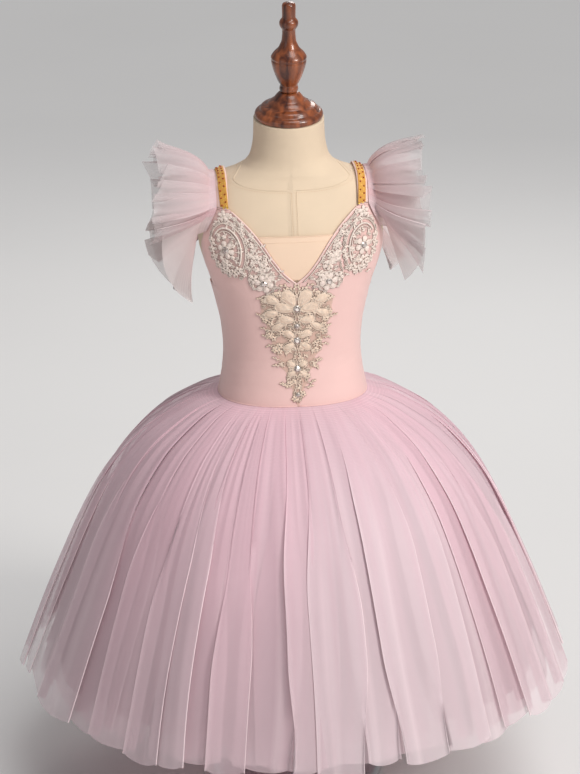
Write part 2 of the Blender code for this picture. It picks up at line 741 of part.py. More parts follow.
def make_cascade():
    """The tapering fall of lace below the V, scalloped at both sides."""
    ease = BODICE_EASE + CLOTH + LACE_GAP
    rows = []
    for band in CASCADE[::-1]:
        shares = (0.0, 0.12, 0.45, 0.72, 1.0)
        rows.append([on_front(band.half_width * share, band.height, ease) for share in shares])
    gaps = {(r, 2) for r in range(6, len(rows) - 2, 2)}
    obj = mirror_half(lattice("cascade", rows, "lace_ivory", skip=gaps))
    return give_wall(obj, LACE)


def make_stones():
    """Faceted stones set on the lace, each square to the cloth below it."""
    ease = BODICE_EASE + CLOTH + LACE + LACE_GAP + 2 * TOUCH
    for i, stone in enumerate(STONES):
        mesh = bpy.data.meshes.new("stone")
        build = bmesh.new()
        height = stone.radius * 0.55
        bmesh.ops.create_cone(
            build,
            cap_ends=True,
            segments=8,
            radius1=stone.radius,
            radius2=stone.radius * 0.5,
            depth=height,
            matrix=Matrix.Translation((0, 0, height / 2)),
        )
        build.to_mesh(mesh)
        build.free()
        obj = add_object(f"stone_{i + 1}", mesh, "crystal", smooth=False)
        seat = on_front(stone.x, stone.height, ease - stone.sink)
        lift = on_front(stone.x, stone.height + 0.004, ease) - on_front(stone.x, stone.height - 0.004, ease)
        run = on_front(stone.x + 0.003, stone.height, ease) - on_front(stone.x - 0.003, stone.height, ease)
        normal = run.cross(lift).normalized()
        obj.location = seat
        obj.rotation_mode = "QUATERNION"
        obj.rotation_quaternion = normal.to_track_quat("Z", "Y")


def main():
    clear_scene()
    collection = bpy.data.collections.new("ballet_dress")
    bpy.context.scene.collection.children.link(collection)
    torso = make_form()
    shoulder = Shoulder(torso)
    make_bodice()
    make_straps(shoulder)
    for ruffle in SLEEVE_RUFFLES:
        make_ruffle(shoulder, ruffle)
    for side, word in ((-1, "left"), (1, "right")):
        make_rosette(side, word)
        make_vine(side, word)
    make_cascade()
    make_stones()
    for layer in SKIRT_LAYERS:
        make_skirt_layer(layer)


main()
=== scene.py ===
# %% [markdown]
# # A child's ballet dress on its dress form
# A pale pink stretch bodice with ivory corded lace, gold braid on the straps, fluttering tulle sleeves
# and a long skirt of gathered tulle, shown on a linen-covered form with a turned walnut cap and finial.
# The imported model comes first. It is the frame that every detailed piece below is fitted to.

# %% Load the frame
import math
import random

import bmesh
import bpy
import numpy as np
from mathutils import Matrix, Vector
from mathutils.bvhtree import BVHTree


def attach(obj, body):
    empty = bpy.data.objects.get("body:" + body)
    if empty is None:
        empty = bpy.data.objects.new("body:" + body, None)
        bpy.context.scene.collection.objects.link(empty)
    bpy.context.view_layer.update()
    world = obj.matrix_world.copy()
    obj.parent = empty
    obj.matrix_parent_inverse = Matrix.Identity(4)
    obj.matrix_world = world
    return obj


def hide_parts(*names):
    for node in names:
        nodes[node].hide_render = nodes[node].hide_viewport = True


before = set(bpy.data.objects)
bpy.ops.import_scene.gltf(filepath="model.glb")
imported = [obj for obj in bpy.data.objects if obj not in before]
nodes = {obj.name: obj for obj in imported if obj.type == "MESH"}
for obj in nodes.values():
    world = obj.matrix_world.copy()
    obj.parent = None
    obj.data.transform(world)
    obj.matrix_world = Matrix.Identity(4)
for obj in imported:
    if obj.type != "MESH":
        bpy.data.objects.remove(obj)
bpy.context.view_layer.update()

print("nodes in the frame:", len(nodes))

# %% [markdown]
# ## The camera and the light
# The dress is seen from a little above and a little to its right, through a long lens. A photographer
# would light pale net with one big soft lamp near the camera's right and a weaker one opposite, so the
# folds shade gently. Big area lights give that softness. A wide soft light from above keeps the floor
# pale all round, so that the dress can be looked at from any side.

# %% Camera, lamps and floor
SEAM = 0.590
VIEW_TURN, VIEW_RISE, VIEW_ROLL, VIEW_AWAY = -5.0, 19.0, 0.8, 3.6


def place_camera():
    turn, rise = math.radians(VIEW_TURN), math.radians(VIEW_RISE)
    back = Vector((math.sin(turn) * math.cos(rise), -math.cos(turn) * math.cos(rise), math.sin(rise)))
    aim = Vector((-0.0035, 0, SEAM))
    camera = bpy.data.objects.new("camera", bpy.data.cameras.new("camera"))
    bpy.context.scene.collection.objects.link(camera)
    camera.data.sensor_width = 36
    camera.data.lens = 36 * 2571 / 774
    camera.data.clip_end = 50
    camera.location = aim + back * VIEW_AWAY
    camera.rotation_euler = (-back).to_track_quat("-Z", "Y").to_euler()
    camera.rotation_euler.rotate_axis("Z", math.radians(-VIEW_ROLL))
    bpy.context.scene.camera = camera


def place_lamp(name, spot, size, watts, colour):
    lamp = bpy.data.objects.new(name, bpy.data.lights.new(name, "AREA"))
    bpy.context.scene.collection.objects.link(lamp)
    lamp.data.shape = "DISK"
    lamp.data.size = size
    lamp.data.energy = watts
    lamp.data.color = colour
    lamp.location = spot
    lamp.rotation_euler = (Vector((0, 0, 0.6)) - Vector(spot)).to_track_quat("-Z", "Y").to_euler()


def place_ceiling_light(slant, strength, softness):
    """A broad even light from above, as the ceiling of a white studio gives."""
    lamp = bpy.data.objects.new("ceiling_light", bpy.data.lights.new("ceiling_light", "SUN"))
    bpy.context.scene.collection.objects.link(lamp)
    lamp.data.energy = strength
    lamp.data.angle = math.radians(softness)
    lamp.rotation_euler = Vector(slant).to_track_quat("Z", "Y").to_euler()


place_camera()
place_lamp("key_lamp", (2.3, -2.5, 2.4), 1.1, 74, (1.0, 0.97, 0.94))
place_lamp("fill_lamp", (-2.4, -2.2, 1.5), 1.8, 5, (0.96, 0.97, 1.0))
place_lamp("back_lamp", (0.6, 2.6, 2.2), 1.2, 18, (1.0, 0.98, 0.96))
place_ceiling_light((0.50, -0.68, 1.6), 1.30, 36)
world = bpy.data.worlds.new("studio")
bpy.context.scene.world = world
world.use_nodes = True
sky = world.node_tree
room_light = sky.nodes["Background"]
room_light.inputs["Color"].default_value = (0.90, 0.90, 0.92, 1)
room_light.inputs["Strength"].default_value = 0.26
far_wall = sky.nodes.new("ShaderNodeBackground")
far_wall.inputs["Color"].default_value = (0.46, 0.46, 0.46, 1)
either = sky.nodes.new("ShaderNodeMixShader")
sky.links.new(sky.nodes.new("ShaderNodeLightPath").outputs["Is Camera Ray"], either.inputs[0])
sky.links.new(room_light.outputs[0], either.inputs[1])
sky.links.new(far_wall.outputs[0], either.inputs[2])
sky.links.new(either.outputs[0], sky.nodes["World Output"].inputs["Surface"])
bpy.context.scene.cycles.transparent_max_bounces = 40
bpy.context.scene.view_settings.view_transform = "Standard"
print("camera at", [round(v, 3) for v in bpy.context.scene.camera.location])

# %% [markdown]
# ## Small tools for building meshes
# Every cloth piece here is a grid of points: rows that run down the cloth and columns across it. Numpy
# works out all of a grid's points at once, and one helper turns a grid into a mesh with a UV map in
# metres, so that a weave has its true scale, and with named attributes that a material can read.

# %% Grids, tubes and turned shapes


def smooth_column(rows, column):
    """A function that runs a smooth curve through one column of a table whose rows rise in height."""
    xs = np.array([row[0] for row in rows], float)
    ys = np.array([row[column] for row in rows], float)
    slopes = np.diff(ys) / np.diff(xs)
    tangents = np.zeros(len(xs))
    tangents[0], tangents[-1] = slopes[0], slopes[-1]
    both = slopes[:-1] * slopes[1:]
    steady = both > 0
    total = np.where(steady, slopes[:-1] + slopes[1:], 1)
    tangents[1:-1] = np.where(steady, 2 * both / total, 0)

    def curve(x):
        x = np.clip(np.asarray(x, float), xs[0], xs[-1])
        i = np.clip(np.searchsorted(xs, x, side="right") - 1, 0, len(xs) - 2)
        span = xs[i + 1] - xs[i]
        t = (x - xs[i]) / span
        return (
            (2 * t**3 - 3 * t**2 + 1) * ys[i]
            + (t**3 - 2 * t**2 + t) * span * tangents[i]
            + (3 * t**2 - 2 * t**3) * ys[i + 1]
            + (t**3 - t**2) * span * tangents[i + 1]
        )

    return curve


def ease_in(x, start, end):
    """0 before start, 1 after end and a smooth climb between them."""
    t = np.clip((np.asarray(x, float) - start) / (np.asarray(end) - start), 0, 1)
    return t * t * (3 - 2 * t)


def add_piece(name, mesh, *finishes):
    for finish in finishes:
        mesh.materials.append(finish)
    piece = bpy.data.objects.new(name, mesh)
    bpy.context.scene.collection.objects.link(piece)
    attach(piece, "root")
    return piece


def grid_piece(name, points, uv, finish, closed=False, flip=False, skip=None, extra=None):
    """A piece made from a grid of points. skip marks cells to leave out, extra holds attributes."""
    points = np.asarray(points, float)
    count_r, count_c = points.shape[:2]
    r = np.arange(count_r - 1)[:, None]
    c = np.arange(count_c if closed else count_c - 1)[None, :]
    right = (c + 1) % count_c
    corners = np.stack(
        [r * count_c + c, r * count_c + right, (r + 1) * count_c + right, (r + 1) * count_c + c], axis=-1
    )
    keep = np.ones(corners.shape[:2], bool) if skip is None else ~skip[: corners.shape[0], : corners.shape[1]]
    corners = corners[keep]
    if flip:
        corners = corners[:, ::-1]
    mesh = bpy.data.meshes.new(name)
    mesh.from_pydata(points.reshape(-1, 3).tolist(), [], corners.tolist())
    layer = mesh.uv_layers.new(name="cloth")
    loop_vert = np.empty(len(mesh.loops), int)
    mesh.loops.foreach_get("vertex_index", loop_vert)
    layer.data.foreach_set("uv", np.asarray(uv, float).reshape(-1, 2)[loop_vert].ravel())
    for key, values in (extra or {}).items():
        attribute = mesh.attributes.new(key, "FLOAT", "POINT")
        attribute.data.foreach_set("value", np.asarray(values, float).ravel())
    mesh.shade_smooth()
    build = bmesh.new()
    build.from_mesh(mesh)
    bmesh.ops.delete(build, geom=[v for v in build.verts if not v.link_faces], context="VERTS")
    build.to_mesh(mesh)
    build.free()
    return add_piece(name, mesh, finish)


def thicken(piece, thickness, offset=-1.0):
    wall = piece.modifiers.new("wall", "SOLIDIFY")
    wall.thickness = thickness
    wall.offset = offset
    return piece


def cloth_area(piece):
    return sum(face.area for face in piece.data.polygons)


def turned_piece(name, profile, finish, steps=96, sharpness=2):
    """A shape turned round Z from (radius, height) rows, with each corner drawn out to a small round."""
    rows = []
    for i, (radius, height) in enumerate(profile):
        if 0 < i < len(profile) - 1:
            for other in (profile[i - 1], profile[i + 1]):
                away = Vector((other[0] - radius, other[1] - height))
                near = min(away.length * 0.3, 0.0008 * sharpness)
                spot = Vector((radius, height)) + away.normalized() * near if away.length > 1e-7 else None
                rows.append(tuple(spot) if spot else (radius, height))
        else:
            rows.append((radius, height))
    turns = np.linspace(0, 2 * math.pi, steps, endpoint=False)
    table = np.array(rows)
    radius = np.maximum(table[:, :1], 0.00002)
    points = np.stack(
        [radius * np.cos(turns)[None], radius * np.sin(turns)[None], np.repeat(table[:, 1:], steps, 1)], -1
    )
    run = np.concatenate([[0], np.cumsum(np.hypot(*np.diff(table, axis=0).T))])
    uv = np.stack(np.broadcast_arrays(turns[None] * 0.03, run[:, None]), -1)
    return grid_piece(name, points[::-1], uv[::-1], finish, closed=True)


def tube_mesh(lines, sides=6, flatten=1.0):
    """Vertices and faces of round cords. Each line is (points, normals, radius), with tapered ends."""
    verts, faces = [], []
    for points, normals, radius in lines:
        points, normals = np.asarray(points, float), np.asarray(normals, float)
        along = np.gradient(points, axis=0)
        side = np.cross(along, normals)
        side /= np.maximum(np.linalg.norm(side, axis=1, keepdims=True), 1e-9)
        angle = np.linspace(0, 2 * math.pi, sides, endpoint=False)
        size = np.full(len(points), radius)
        size[0] = size[-1] = radius * 0.35
        ring = (
            side[:, None] * np.cos(angle)[None, :, None] + normals[:, None] * np.sin(angle)[None, :, None] * flatten
        ) * size[:, None, None]
        start = len(verts)
        verts.extend((points[:, None] + ring).reshape(-1, 3).tolist())
        for i in range(len(points) - 1):
            for k in range(sides):
                a, b = start + i * sides + k, start + i * sides + (k + 1) % sides
                faces.append((a, b, b + sides, a + sides))
        faces.append(tuple(range(start + sides - 1, start - 1, -1)))
        faces.append(tuple(range(start + (len(points) - 1) * sides, start + len(points) * sides)))
    return verts, faces


print("helpers ready")

# %% [markdown]
# ## Shared surface effects
# Cloth is never one flat colour. Three effects come back in many finishes here, so each is built once as
# a node group: a slow mottle that shifts the tone, a woven or knitted thread pattern for bump, and the
# hexagonal holes of net. A group only gives out colours, masks and heights. Each material keeps its own
# Principled shader, and is given its own scale and strength.

# %% Node groups


def new_group(name, inputs, outputs):
    group = bpy.data.node_groups.new(name, "ShaderNodeTree")
    for label, kind, value in inputs:
        socket = group.interface.new_socket(name=label, in_out="INPUT", socket_type=kind)
        if value is not None:
            socket.default_value = value
    for label, kind in outputs:
        group.interface.new_socket(name=label, in_out="OUTPUT", socket_type=kind)
    return group, group.nodes.new("NodeGroupInput"), group.nodes.new("NodeGroupOutput")


def math_node(tree, operation, a, b=None, clamp=False):
    node = tree.nodes.new("ShaderNodeMath")
    node.operation = operation
    node.use_clamp = clamp
    for socket, value in zip(node.inputs, (a, b)):
        if value is None:
            continue
        if hasattr(value, "is_linked"):
            tree.links.new(value, socket)
        else:
            socket.default_value = value
    return node.outputs[0]


def make_mottle_group():
    group, inside, outside = new_group(
        "cloth_mottle",
        [("Vector", "NodeSocketVector", None), ("Scale", "NodeSocketFloat", 20.0),
         ("Amount", "NodeSocketFloat", 0.1), ("Color", "NodeSocketColor", (0.8, 0.8, 0.8, 1))],
        [("Color", "NodeSocketColor"), ("Value", "NodeSocketFloat")],
    )
    noise = group.nodes.new("ShaderNodeTexNoise")
    noise.inputs["Detail"].default_value = 4
    group.links.new(inside.outputs["Vector"], noise.inputs["Vector"])
    group.links.new(inside.outputs["Scale"], noise.inputs["Scale"])
    centred = math_node(group, "SUBTRACT", noise.outputs["Fac"], 0.5)
    swing = math_node(group, "MULTIPLY", centred, inside.outputs["Amount"])
    value = math_node(group, "ADD", math_node(group, "MULTIPLY", swing, 2.0), 1.0)
    tint = group.nodes.new("ShaderNodeHueSaturation")
    group.links.new(inside.outputs["Color"], tint.inputs["Color"])
    group.links.new(value, tint.inputs["Value"])
    group.links.new(tint.outputs["Color"], outside.inputs["Color"])
    group.links.new(noise.outputs["Fac"], outside.inputs["Value"])
    return group


def make_weave_group():
    group, inside, outside = new_group(
        "thread_weave",
        [("Vector", "NodeSocketVector", None), ("Threads", "NodeSocketFloat", 900.0),
         ("Unevenness", "NodeSocketFloat", 0.3)],
        [("Height", "NodeSocketFloat"), ("Slub", "NodeSocketFloat")],
    )
    parts = group.nodes.new("ShaderNodeSeparateXYZ")
    group.links.new(inside.outputs["Vector"], parts.inputs[0])
    turn = math_node(group, "MULTIPLY", inside.outputs["Threads"], 2 * math.pi)
    across = math_node(group, "SINE", math_node(group, "MULTIPLY", parts.outputs[0], turn))
    along = math_node(group, "SINE", math_node(group, "MULTIPLY", parts.outputs[1], turn))
    weave = math_node(group, "MULTIPLY", across, along)
    noise = group.nodes.new("ShaderNodeTexNoise")
    stretch = group.nodes.new("ShaderNodeMapping")
    stretch.inputs["Scale"].default_value = (60, 900, 60)
    group.links.new(inside.outputs["Vector"], stretch.inputs["Vector"])
    group.links.new(stretch.outputs["Vector"], noise.inputs["Vector"])
    noise.inputs["Scale"].default_value = 1.0
    slub = math_node(group, "MULTIPLY", noise.outputs["Fac"], inside.outputs["Unevenness"])
    height = math_node(group, "ADD", math_node(group, "MULTIPLY", weave, 0.35), slub)
    group.links.new(height, outside.inputs["Height"])
    group.links.new(noise.outputs["Fac"], outside.inputs["Slub"])
    return group


def make_net_group():
    group, inside, outside = new_group(
        "net_holes",
        [("Vector", "NodeSocketVector", None), ("Holes", "NodeSocketFloat", 600.0),
         ("Thread", "NodeSocketFloat", 0.12)],
        [("Thread", "NodeSocketFloat")],
    )
    cells = group.nodes.new("ShaderNodeTexVoronoi")
    cells.voronoi_dimensions = "2D"
    cells.feature = "DISTANCE_TO_EDGE"
    cells.inputs["Randomness"].default_value = 0.25
    group.links.new(inside.outputs["Vector"], cells.inputs["Vector"])
    group.links.new(inside.outputs["Holes"], cells.inputs["Scale"])
    group.links.new(
        math_node(group, "LESS_THAN", cells.outputs["Distance"], inside.outputs["Thread"]), outside.inputs["Thread"]
    )
    return group


mottle_group, weave_group, net_group = make_mottle_group(), make_weave_group(), make_net_group()
print("node groups:", [g.name for g in (mottle_group, weave_group, net_group)])

# %% [markdown]
# ## Cloth finishes
# Stretch knit, linen, mesh and lace are all soft and rough, and differ in thread size, sheen and colour.
# One recipe makes them: mottled colour, thread bump and a sheen for the fine fibres that stand up and
# catch the light. Writing it as a function keeps each finish to one line of values.

# %% Solid cloth materials


class Finish:
    """A new material with its shader at hand, and short ways to add and join nodes."""

    def __init__(self, name, colour, roughness):
        self.material = bpy.data.materials.new(name)
        self.material.use_nodes = True
        self.tree = self.material.node_tree
        self.shader = self.tree.nodes["Principled BSDF"]
        self.shader.inputs["Base Color"].default_value = (*colour, 1)
        self.shader.inputs["Roughness"].default_value = roughness

    def node(self, kind, **values):
        made = self.tree.nodes.new(kind)
        for key, value in values.items():
            setattr(made, key, value)
        return made

    def group(self, tree, **values):
        made = self.tree.nodes.new("ShaderNodeGroup")
        made.node_tree = tree
        for key, value in values.items():
            made.inputs[key].default_value = value
        return made

    def link(self, source, target):
        self.tree.links.new(source, target)

    def math(self, operation, a, b=None, clamp=False):
        return math_node(self.tree, operation, a, b, clamp)

    def attribute(self, name):
        return self.node("ShaderNodeAttribute", attribute_name=name).outputs["Fac"]

    def mix_colour(self, share, a, b):
        mix = self.node("ShaderNodeMix", data_type="RGBA")
        for socket, value in ((mix.inputs[0], share), (mix.inputs[6], a), (mix.inputs[7], b)):
            if hasattr(value, "is_linked"):
                self.link(value, socket)
            elif isinstance(value, tuple):
                socket.default_value = (*value, 1)
            else:
                socket.default_value = value
        return mix.outputs[2]

    def bump(self, height, strength, distance):
        made = self.node("ShaderNodeBump")
        made.inputs["Strength"].default_value = strength
        made.inputs["Distance"].default_value = distance
        self.link(height, made.inputs["Height"])
        self.link(made.outputs["Normal"], self.shader.inputs["Normal"])


def cloth_finish(name, colour, threads, mottle, roughness=0.75, sheen=0.25, bump=0.5, slub=0.3):
    finish = Finish(name, colour, roughness)
    place = finish.node("ShaderNodeUVMap", uv_map="cloth").outputs["UV"]
    solid_place = finish.node("ShaderNodeTexCoord").outputs["Object"]
    tone = finish.group(mottle_group, Scale=14.0, Amount=mottle, Color=(*colour, 1))
    finish.link(solid_place, tone.inputs["Vector"])
    weave = finish.group(weave_group, Threads=threads, Unevenness=slub)
    finish.link(place, weave.inputs["Vector"])
    threads_dark = finish.math("MULTIPLY", weave.outputs["Slub"], 0.10)
    finish.link(
        finish.mix_colour(threads_dark, tone.outputs["Color"], tuple(c * 0.72 for c in colour)),
        finish.shader.inputs["Base Color"],
    )
    finish.link(
        finish.math("ADD", finish.math("MULTIPLY", tone.outputs["Value"], 0.12), roughness - 0.06),
        finish.shader.inputs["Roughness"],
    )
    finish.bump(weave.outputs["Height"], bump, 0.0004)
    finish.shader.inputs["Sheen Weight"].default_value = sheen
    finish.shader.inputs["Sheen Roughness"].default_value = 0.4
    return finish


stretch_knit = cloth_finish("stretch_knit", (0.86, 0.58, 0.54), 1400, 0.05, 0.62, 0.30, 0.25).material
strap_knit = cloth_finish("strap_knit", (0.88, 0.62, 0.56), 1400, 0.05, 0.62, 0.25, 0.25).material
nude_mesh = cloth_finish("nude_mesh", (0.90, 0.67, 0.50), 1100, 0.05, 0.72, 0.20, 0.35).material
form_linen = cloth_finish("form_linen", (0.80, 0.64, 0.47), 820, 0.10, 0.86, 0.10, 0.55, 0.5).material
seam_thread = cloth_finish("seam_thread", (0.74, 0.52, 0.34), 1500, 0.12, 0.80, 0.10, 0.4).material
binding_satin = cloth_finish("binding_satin", (0.88, 0.64, 0.59), 1500, 0.05, 0.45, 0.30, 0.2).material
gold_braid = cloth_finish("gold_braid", (0.72, 0.36, 0.06), 900, 0.25, 0.5, 0.10, 0.8).material
print("cloth finishes made")

# %% [markdown]
# ## Tulle
# Tulle is a net of very fine hexagons. From across a room the holes can't be seen, and the cloth looks
# like a tinted mist that gets denser wherever it doubles over. So the finish is partly clear, the net
# pattern only shifts how clear, and the pink deepens where real layers lie over each other. The colour
# also carries painted light: it runs from a light waist to a darker hem, partly dye and partly painted
# shade, it is darkened in painted shade along the fine gathers, and pressed fold edges get a painted
# highlight. Each sheet carries values of its own for this: one high along a pressed fold, one from waist
# to hem, and one high along the fine gathers.

# %% Tulle material


def tulle_finish(name, waist, hem, pale, clear_waist, clear_hem):
    """Net that goes from one colour and clearness to another down the cloth, the colour partly dye and partly painted
    shade; it is darkened as painted shade along gathers, and made denser along pressed folds, where a painted highlight
    lightens it.
    """
    finish = Finish(name, waist, 0.70)
    place = finish.node("ShaderNodeUVMap", uv_map="cloth").outputs["UV"]
    solid_place = finish.node("ShaderNodeTexCoord").outputs["Object"]
    down, crease_highlight, tone_share, gather_shade_streak = (finish.attribute(k) for k in ("down", "crease_highlight", "tone", "gather_shade_streak"))
    net = finish.group(net_group, Holes=620.0, Thread=0.14)
    finish.link(place, net.inputs["Vector"])
    tone = finish.group(mottle_group, Scale=9.0, Amount=0.05)
    finish.link(solid_place, tone.inputs["Vector"])
    # Painted shade: the colour runs from a light waist to a darker hem, partly the net's dye and partly shade standing
    # in for light that falls from above.
    dye_and_painted_shade = finish.mix_colour(down, waist, hem)
    paled = finish.mix_colour(finish.math("MULTIPLY", tone_share, 0.62), dye_and_painted_shade, pale)
    # Painted shade: the colour is darkened along the fine gathers, where their shadow would fall.
    shaded_in_gathers = finish.mix_colour(finish.math("MULTIPLY", gather_shade_streak, 0.36), paled, tuple(c * 0.86 for c in waist))
    finish.link(shaded_in_gathers, tone.inputs["Color"])
    # Painted highlight: pressed fold edges are lightened towards pale pink; the extra alpha that they get below is the
    # net doubling over.
    finish.link(
        finish.mix_colour(finish.math("MULTIPLY", crease_highlight, 0.70, clamp=True), tone.outputs["Color"], (1.0, 0.84, 0.86)),
        finish.shader.inputs["Base Color"],
    )
    body = finish.math("ADD", finish.math("MULTIPLY", down, clear_waist - clear_hem), 1 - clear_waist)
    body = finish.math("ADD", body, finish.math("MULTIPLY", finish.math("SUBTRACT", tone_share, 0.5), 0.14))
    veil = finish.math("ADD", body, finish.math("MULTIPLY", net.outputs["Thread"], 0.10))
    finish.link(finish.math("ADD", veil, finish.math("MULTIPLY", crease_highlight, 0.30), clamp=True), finish.shader.inputs["Alpha"])
    finish.bump(net.outputs["Thread"], 0.15, 0.0002)
    finish.shader.inputs["Sheen Weight"].default_value = 0.30
    finish.shader.inputs["Sheen Roughness"].default_value = 0.35
    return finish.material


PALE_VEIL = (0.76, 0.68, 0.70)
# The three skirt layers are one tulle: the middle and inner ones get darker colours as painted shade for lying inside
# the outer one. The two lower ruffles are the same tulle as the upper ones, made darker as painted shade for hanging
# beneath them.
tulle_outer = tulle_finish("tulle_outer", (1.0, 0.66, 0.75), (0.72, 0.55, 0.59), PALE_VEIL, 0.38, 0.52)
tulle_middle_shaded = tulle_finish("tulle_middle_shaded", (1.0, 0.60, 0.71), (0.64, 0.46, 0.50), PALE_VEIL, 0.30, 0.42)
tulle_inner_shaded = tulle_finish("tulle_inner_shaded", (1.0, 0.56, 0.67), (0.50, 0.34, 0.38), (0.60, 0.46, 0.49), 0.05, 0.12)
sleeve_upper = tulle_finish("sleeve_upper", (0.88, 0.57, 0.60), (0.64, 0.57, 0.57), (0.72, 0.64, 0.65), 0.26, 0.68)
sleeve_lower_shaded = tulle_finish("sleeve_lower_shaded", (0.74, 0.50, 0.50), (0.56, 0.49, 0.48), (0.62, 0.55, 0.54), 0.24, 0.56)


print("tulle finishes made")

# %% [markdown]
# ## Wood, metal, sequins and stones
# Walnut is dark, with long streaks that run with the turning's axis, under a glossy varnish: the grain
# is noise stretched along Z, and the varnish is the shader's clear coat. Steel is metal with a fine
# brushed bump. Sequins are thin shiny discs in orange gold, and the stones are cut glass over a foil,
# shown as bright, nearly mirror-like facets, each painted at its own brightness as a painted reflection.

# %% Hard materials


def walnut_finish():
    finish = Finish("walnut_varnish", (0.20, 0.06, 0.025), 0.34)
    place = finish.node("ShaderNodeTexCoord").outputs["Object"]
    stretch = finish.node("ShaderNodeMapping")
    stretch.inputs["Scale"].default_value = (95, 95, 9)
    finish.link(place, stretch.inputs["Vector"])
    grain = finish.node("ShaderNodeTexNoise")
    grain.inputs["Scale"].default_value = 1.0
    grain.inputs["Detail"].default_value = 6
    grain.inputs["Distortion"].default_value = 0.6
    finish.link(stretch.outputs["Vector"], grain.inputs["Vector"])
    ramp = finish.node("ShaderNodeValToRGB")
    ramp.color_ramp.elements[0].position = 0.34
    ramp.color_ramp.elements[0].color = (0.055, 0.010, 0.004, 1)
    ramp.color_ramp.elements[1].position = 0.68
    ramp.color_ramp.elements[1].color = (0.36, 0.098, 0.030, 1)
    finish.link(grain.outputs["Fac"], ramp.inputs["Fac"])
    finish.link(ramp.outputs["Color"], finish.shader.inputs["Base Color"])
    finish.bump(grain.outputs["Fac"], 0.12, 0.0006)
    finish.shader.inputs["Coat Weight"].default_value = 0.45
    finish.shader.inputs["Coat Roughness"].default_value = 0.10
    return finish.material


def brushed_finish(name, colour, roughness, metallic=1.0):
    finish = Finish(name, colour, roughness)
    finish.shader.inputs["Metallic"].default_value = metallic
    place = finish.node("ShaderNodeTexCoord").outputs["Object"]
    stretch = finish.node("ShaderNodeMapping")
    stretch.inputs["Scale"].default_value = (40, 40, 1400)
    finish.link(place, stretch.inputs["Vector"])
    scratch = finish.node("ShaderNodeTexNoise")
    scratch.inputs["Scale"].default_value = 1.0
    finish.link(stretch.outputs["Vector"], scratch.inputs["Vector"])
    finish.link(
        finish.math("ADD", finish.math("MULTIPLY", scratch.outputs["Fac"], 0.2), roughness - 0.1),
        finish.shader.inputs["Roughness"],
    )
    finish.bump(scratch.outputs["Fac"], 0.1, 0.0002)
    return finish.material


def sequin_finish(name, colour, roughness):
    finish = Finish(name, colour, roughness)
    finish.shader.inputs["Metallic"].default_value = 0.30
    place = finish.node("ShaderNodeTexCoord").outputs["Object"]
    tone = finish.group(mottle_group, Scale=260.0, Amount=0.40, Color=(*colour, 1))
    finish.link(place, tone.inputs["Vector"])
    finish.link(tone.outputs["Color"], finish.shader.inputs["Base Color"])
    finish.link(finish.math("MULTIPLY", tone.outputs["Value"], roughness * 2), finish.shader.inputs["Roughness"])
    return finish.material


def lace_finish(name, colour, thread):
    finish = Finish(name, colour, 0.55)
    place = finish.node("ShaderNodeTexCoord").outputs["Object"]
    tone = finish.group(mottle_group, Scale=180.0, Amount=0.22, Color=(*colour, 1))
    finish.link(place, tone.inputs["Vector"])
    finish.link(tone.outputs["Color"], finish.shader.inputs["Base Color"])
    twist = finish.node("ShaderNodeTexWave", bands_direction="DIAGONAL")
    twist.inputs["Scale"].default_value = thread
    twist.inputs["Distortion"].default_value = 1.5
    finish.link(place, twist.inputs["Vector"])
    finish.link(
        finish.math("ADD", finish.math("MULTIPLY", tone.outputs["Value"], 0.2), 0.42), finish.shader.inputs["Roughness"]
    )
    finish.bump(twist.outputs["Fac"], 0.5, 0.0003)
    finish.shader.inputs["Sheen Weight"].default_value = 0.25
    return finish.material


def stone_finish():
    """Foil-backed glass: each facet is painted at its own brightness, from smoke to white, as a painted reflection of
    its surroundings.
    """
    finish = Finish("cut_crystal", (0.90, 0.84, 0.80), 0.08)
    painted_glint = finish.attribute("painted_glint")
    # Painted reflection: each facet's colour goes from smoke to white by its own random value.
    finish.link(finish.mix_colour(painted_glint, (0.16, 0.10, 0.08), (0.98, 0.90, 0.85)), finish.shader.inputs["Base Color"])
    finish.shader.inputs["Metallic"].default_value = 0.6
    finish.link(finish.math("ADD", finish.math("MULTIPLY", painted_glint, 0.10), 0.04), finish.shader.inputs["Roughness"])
    finish.shader.inputs["Coat Weight"].default_value = 0.8
    finish.shader.inputs["Coat Roughness"].default_value = 0.03
    return finish.material


walnut = walnut_finish()
brushed_steel = brushed_finish("brushed_steel", (0.62, 0.62, 0.63), 0.34)
claw_metal = brushed_finish("claw_metal", (0.70, 0.66, 0.60), 0.28)
sequin_gold = sequin_finish("sequin_gold", (1.0, 0.68, 0.10), 0.30)
bead_garnet = sequin_finish("bead_garnet", (0.36, 0.03, 0.01), 0.14)
# The third colour of each lace set is for the flat band under the cords: partly the dark couching thread and partly
# painted shadow under the raised cords.
CHAMPAGNE = (
    lace_finish("champagne_cord", (0.96, 0.80, 0.66), 900),
    lace_finish("champagne_stitch", (0.88, 0.68, 0.53), 1500),
    lace_finish("champagne_couching_and_shadow", (0.36, 0.21, 0.14), 1500),
)
BLUSH = (
    lace_finish("blush_cord", (0.98, 0.86, 0.77), 900),
    lace_finish("blush_stitch", (0.94, 0.79, 0.71), 1500),
    lace_finish("blush_couching_and_shadow", (0.50, 0.34, 0.28), 1500),
)
crystal = stone_finish()
print("hard finishes made")

# %% [markdown]
# ## The form's figure
# The form is a smooth padded figure covered in natural linen, with no limbs. Its cross-sections are
# rounded boxes, so each is described by a half width, a half depth and a squareness, and smooth curves
# between the rows give any height. The bodice uses the same rule with a little ease added, which is why
# it fits without touching.

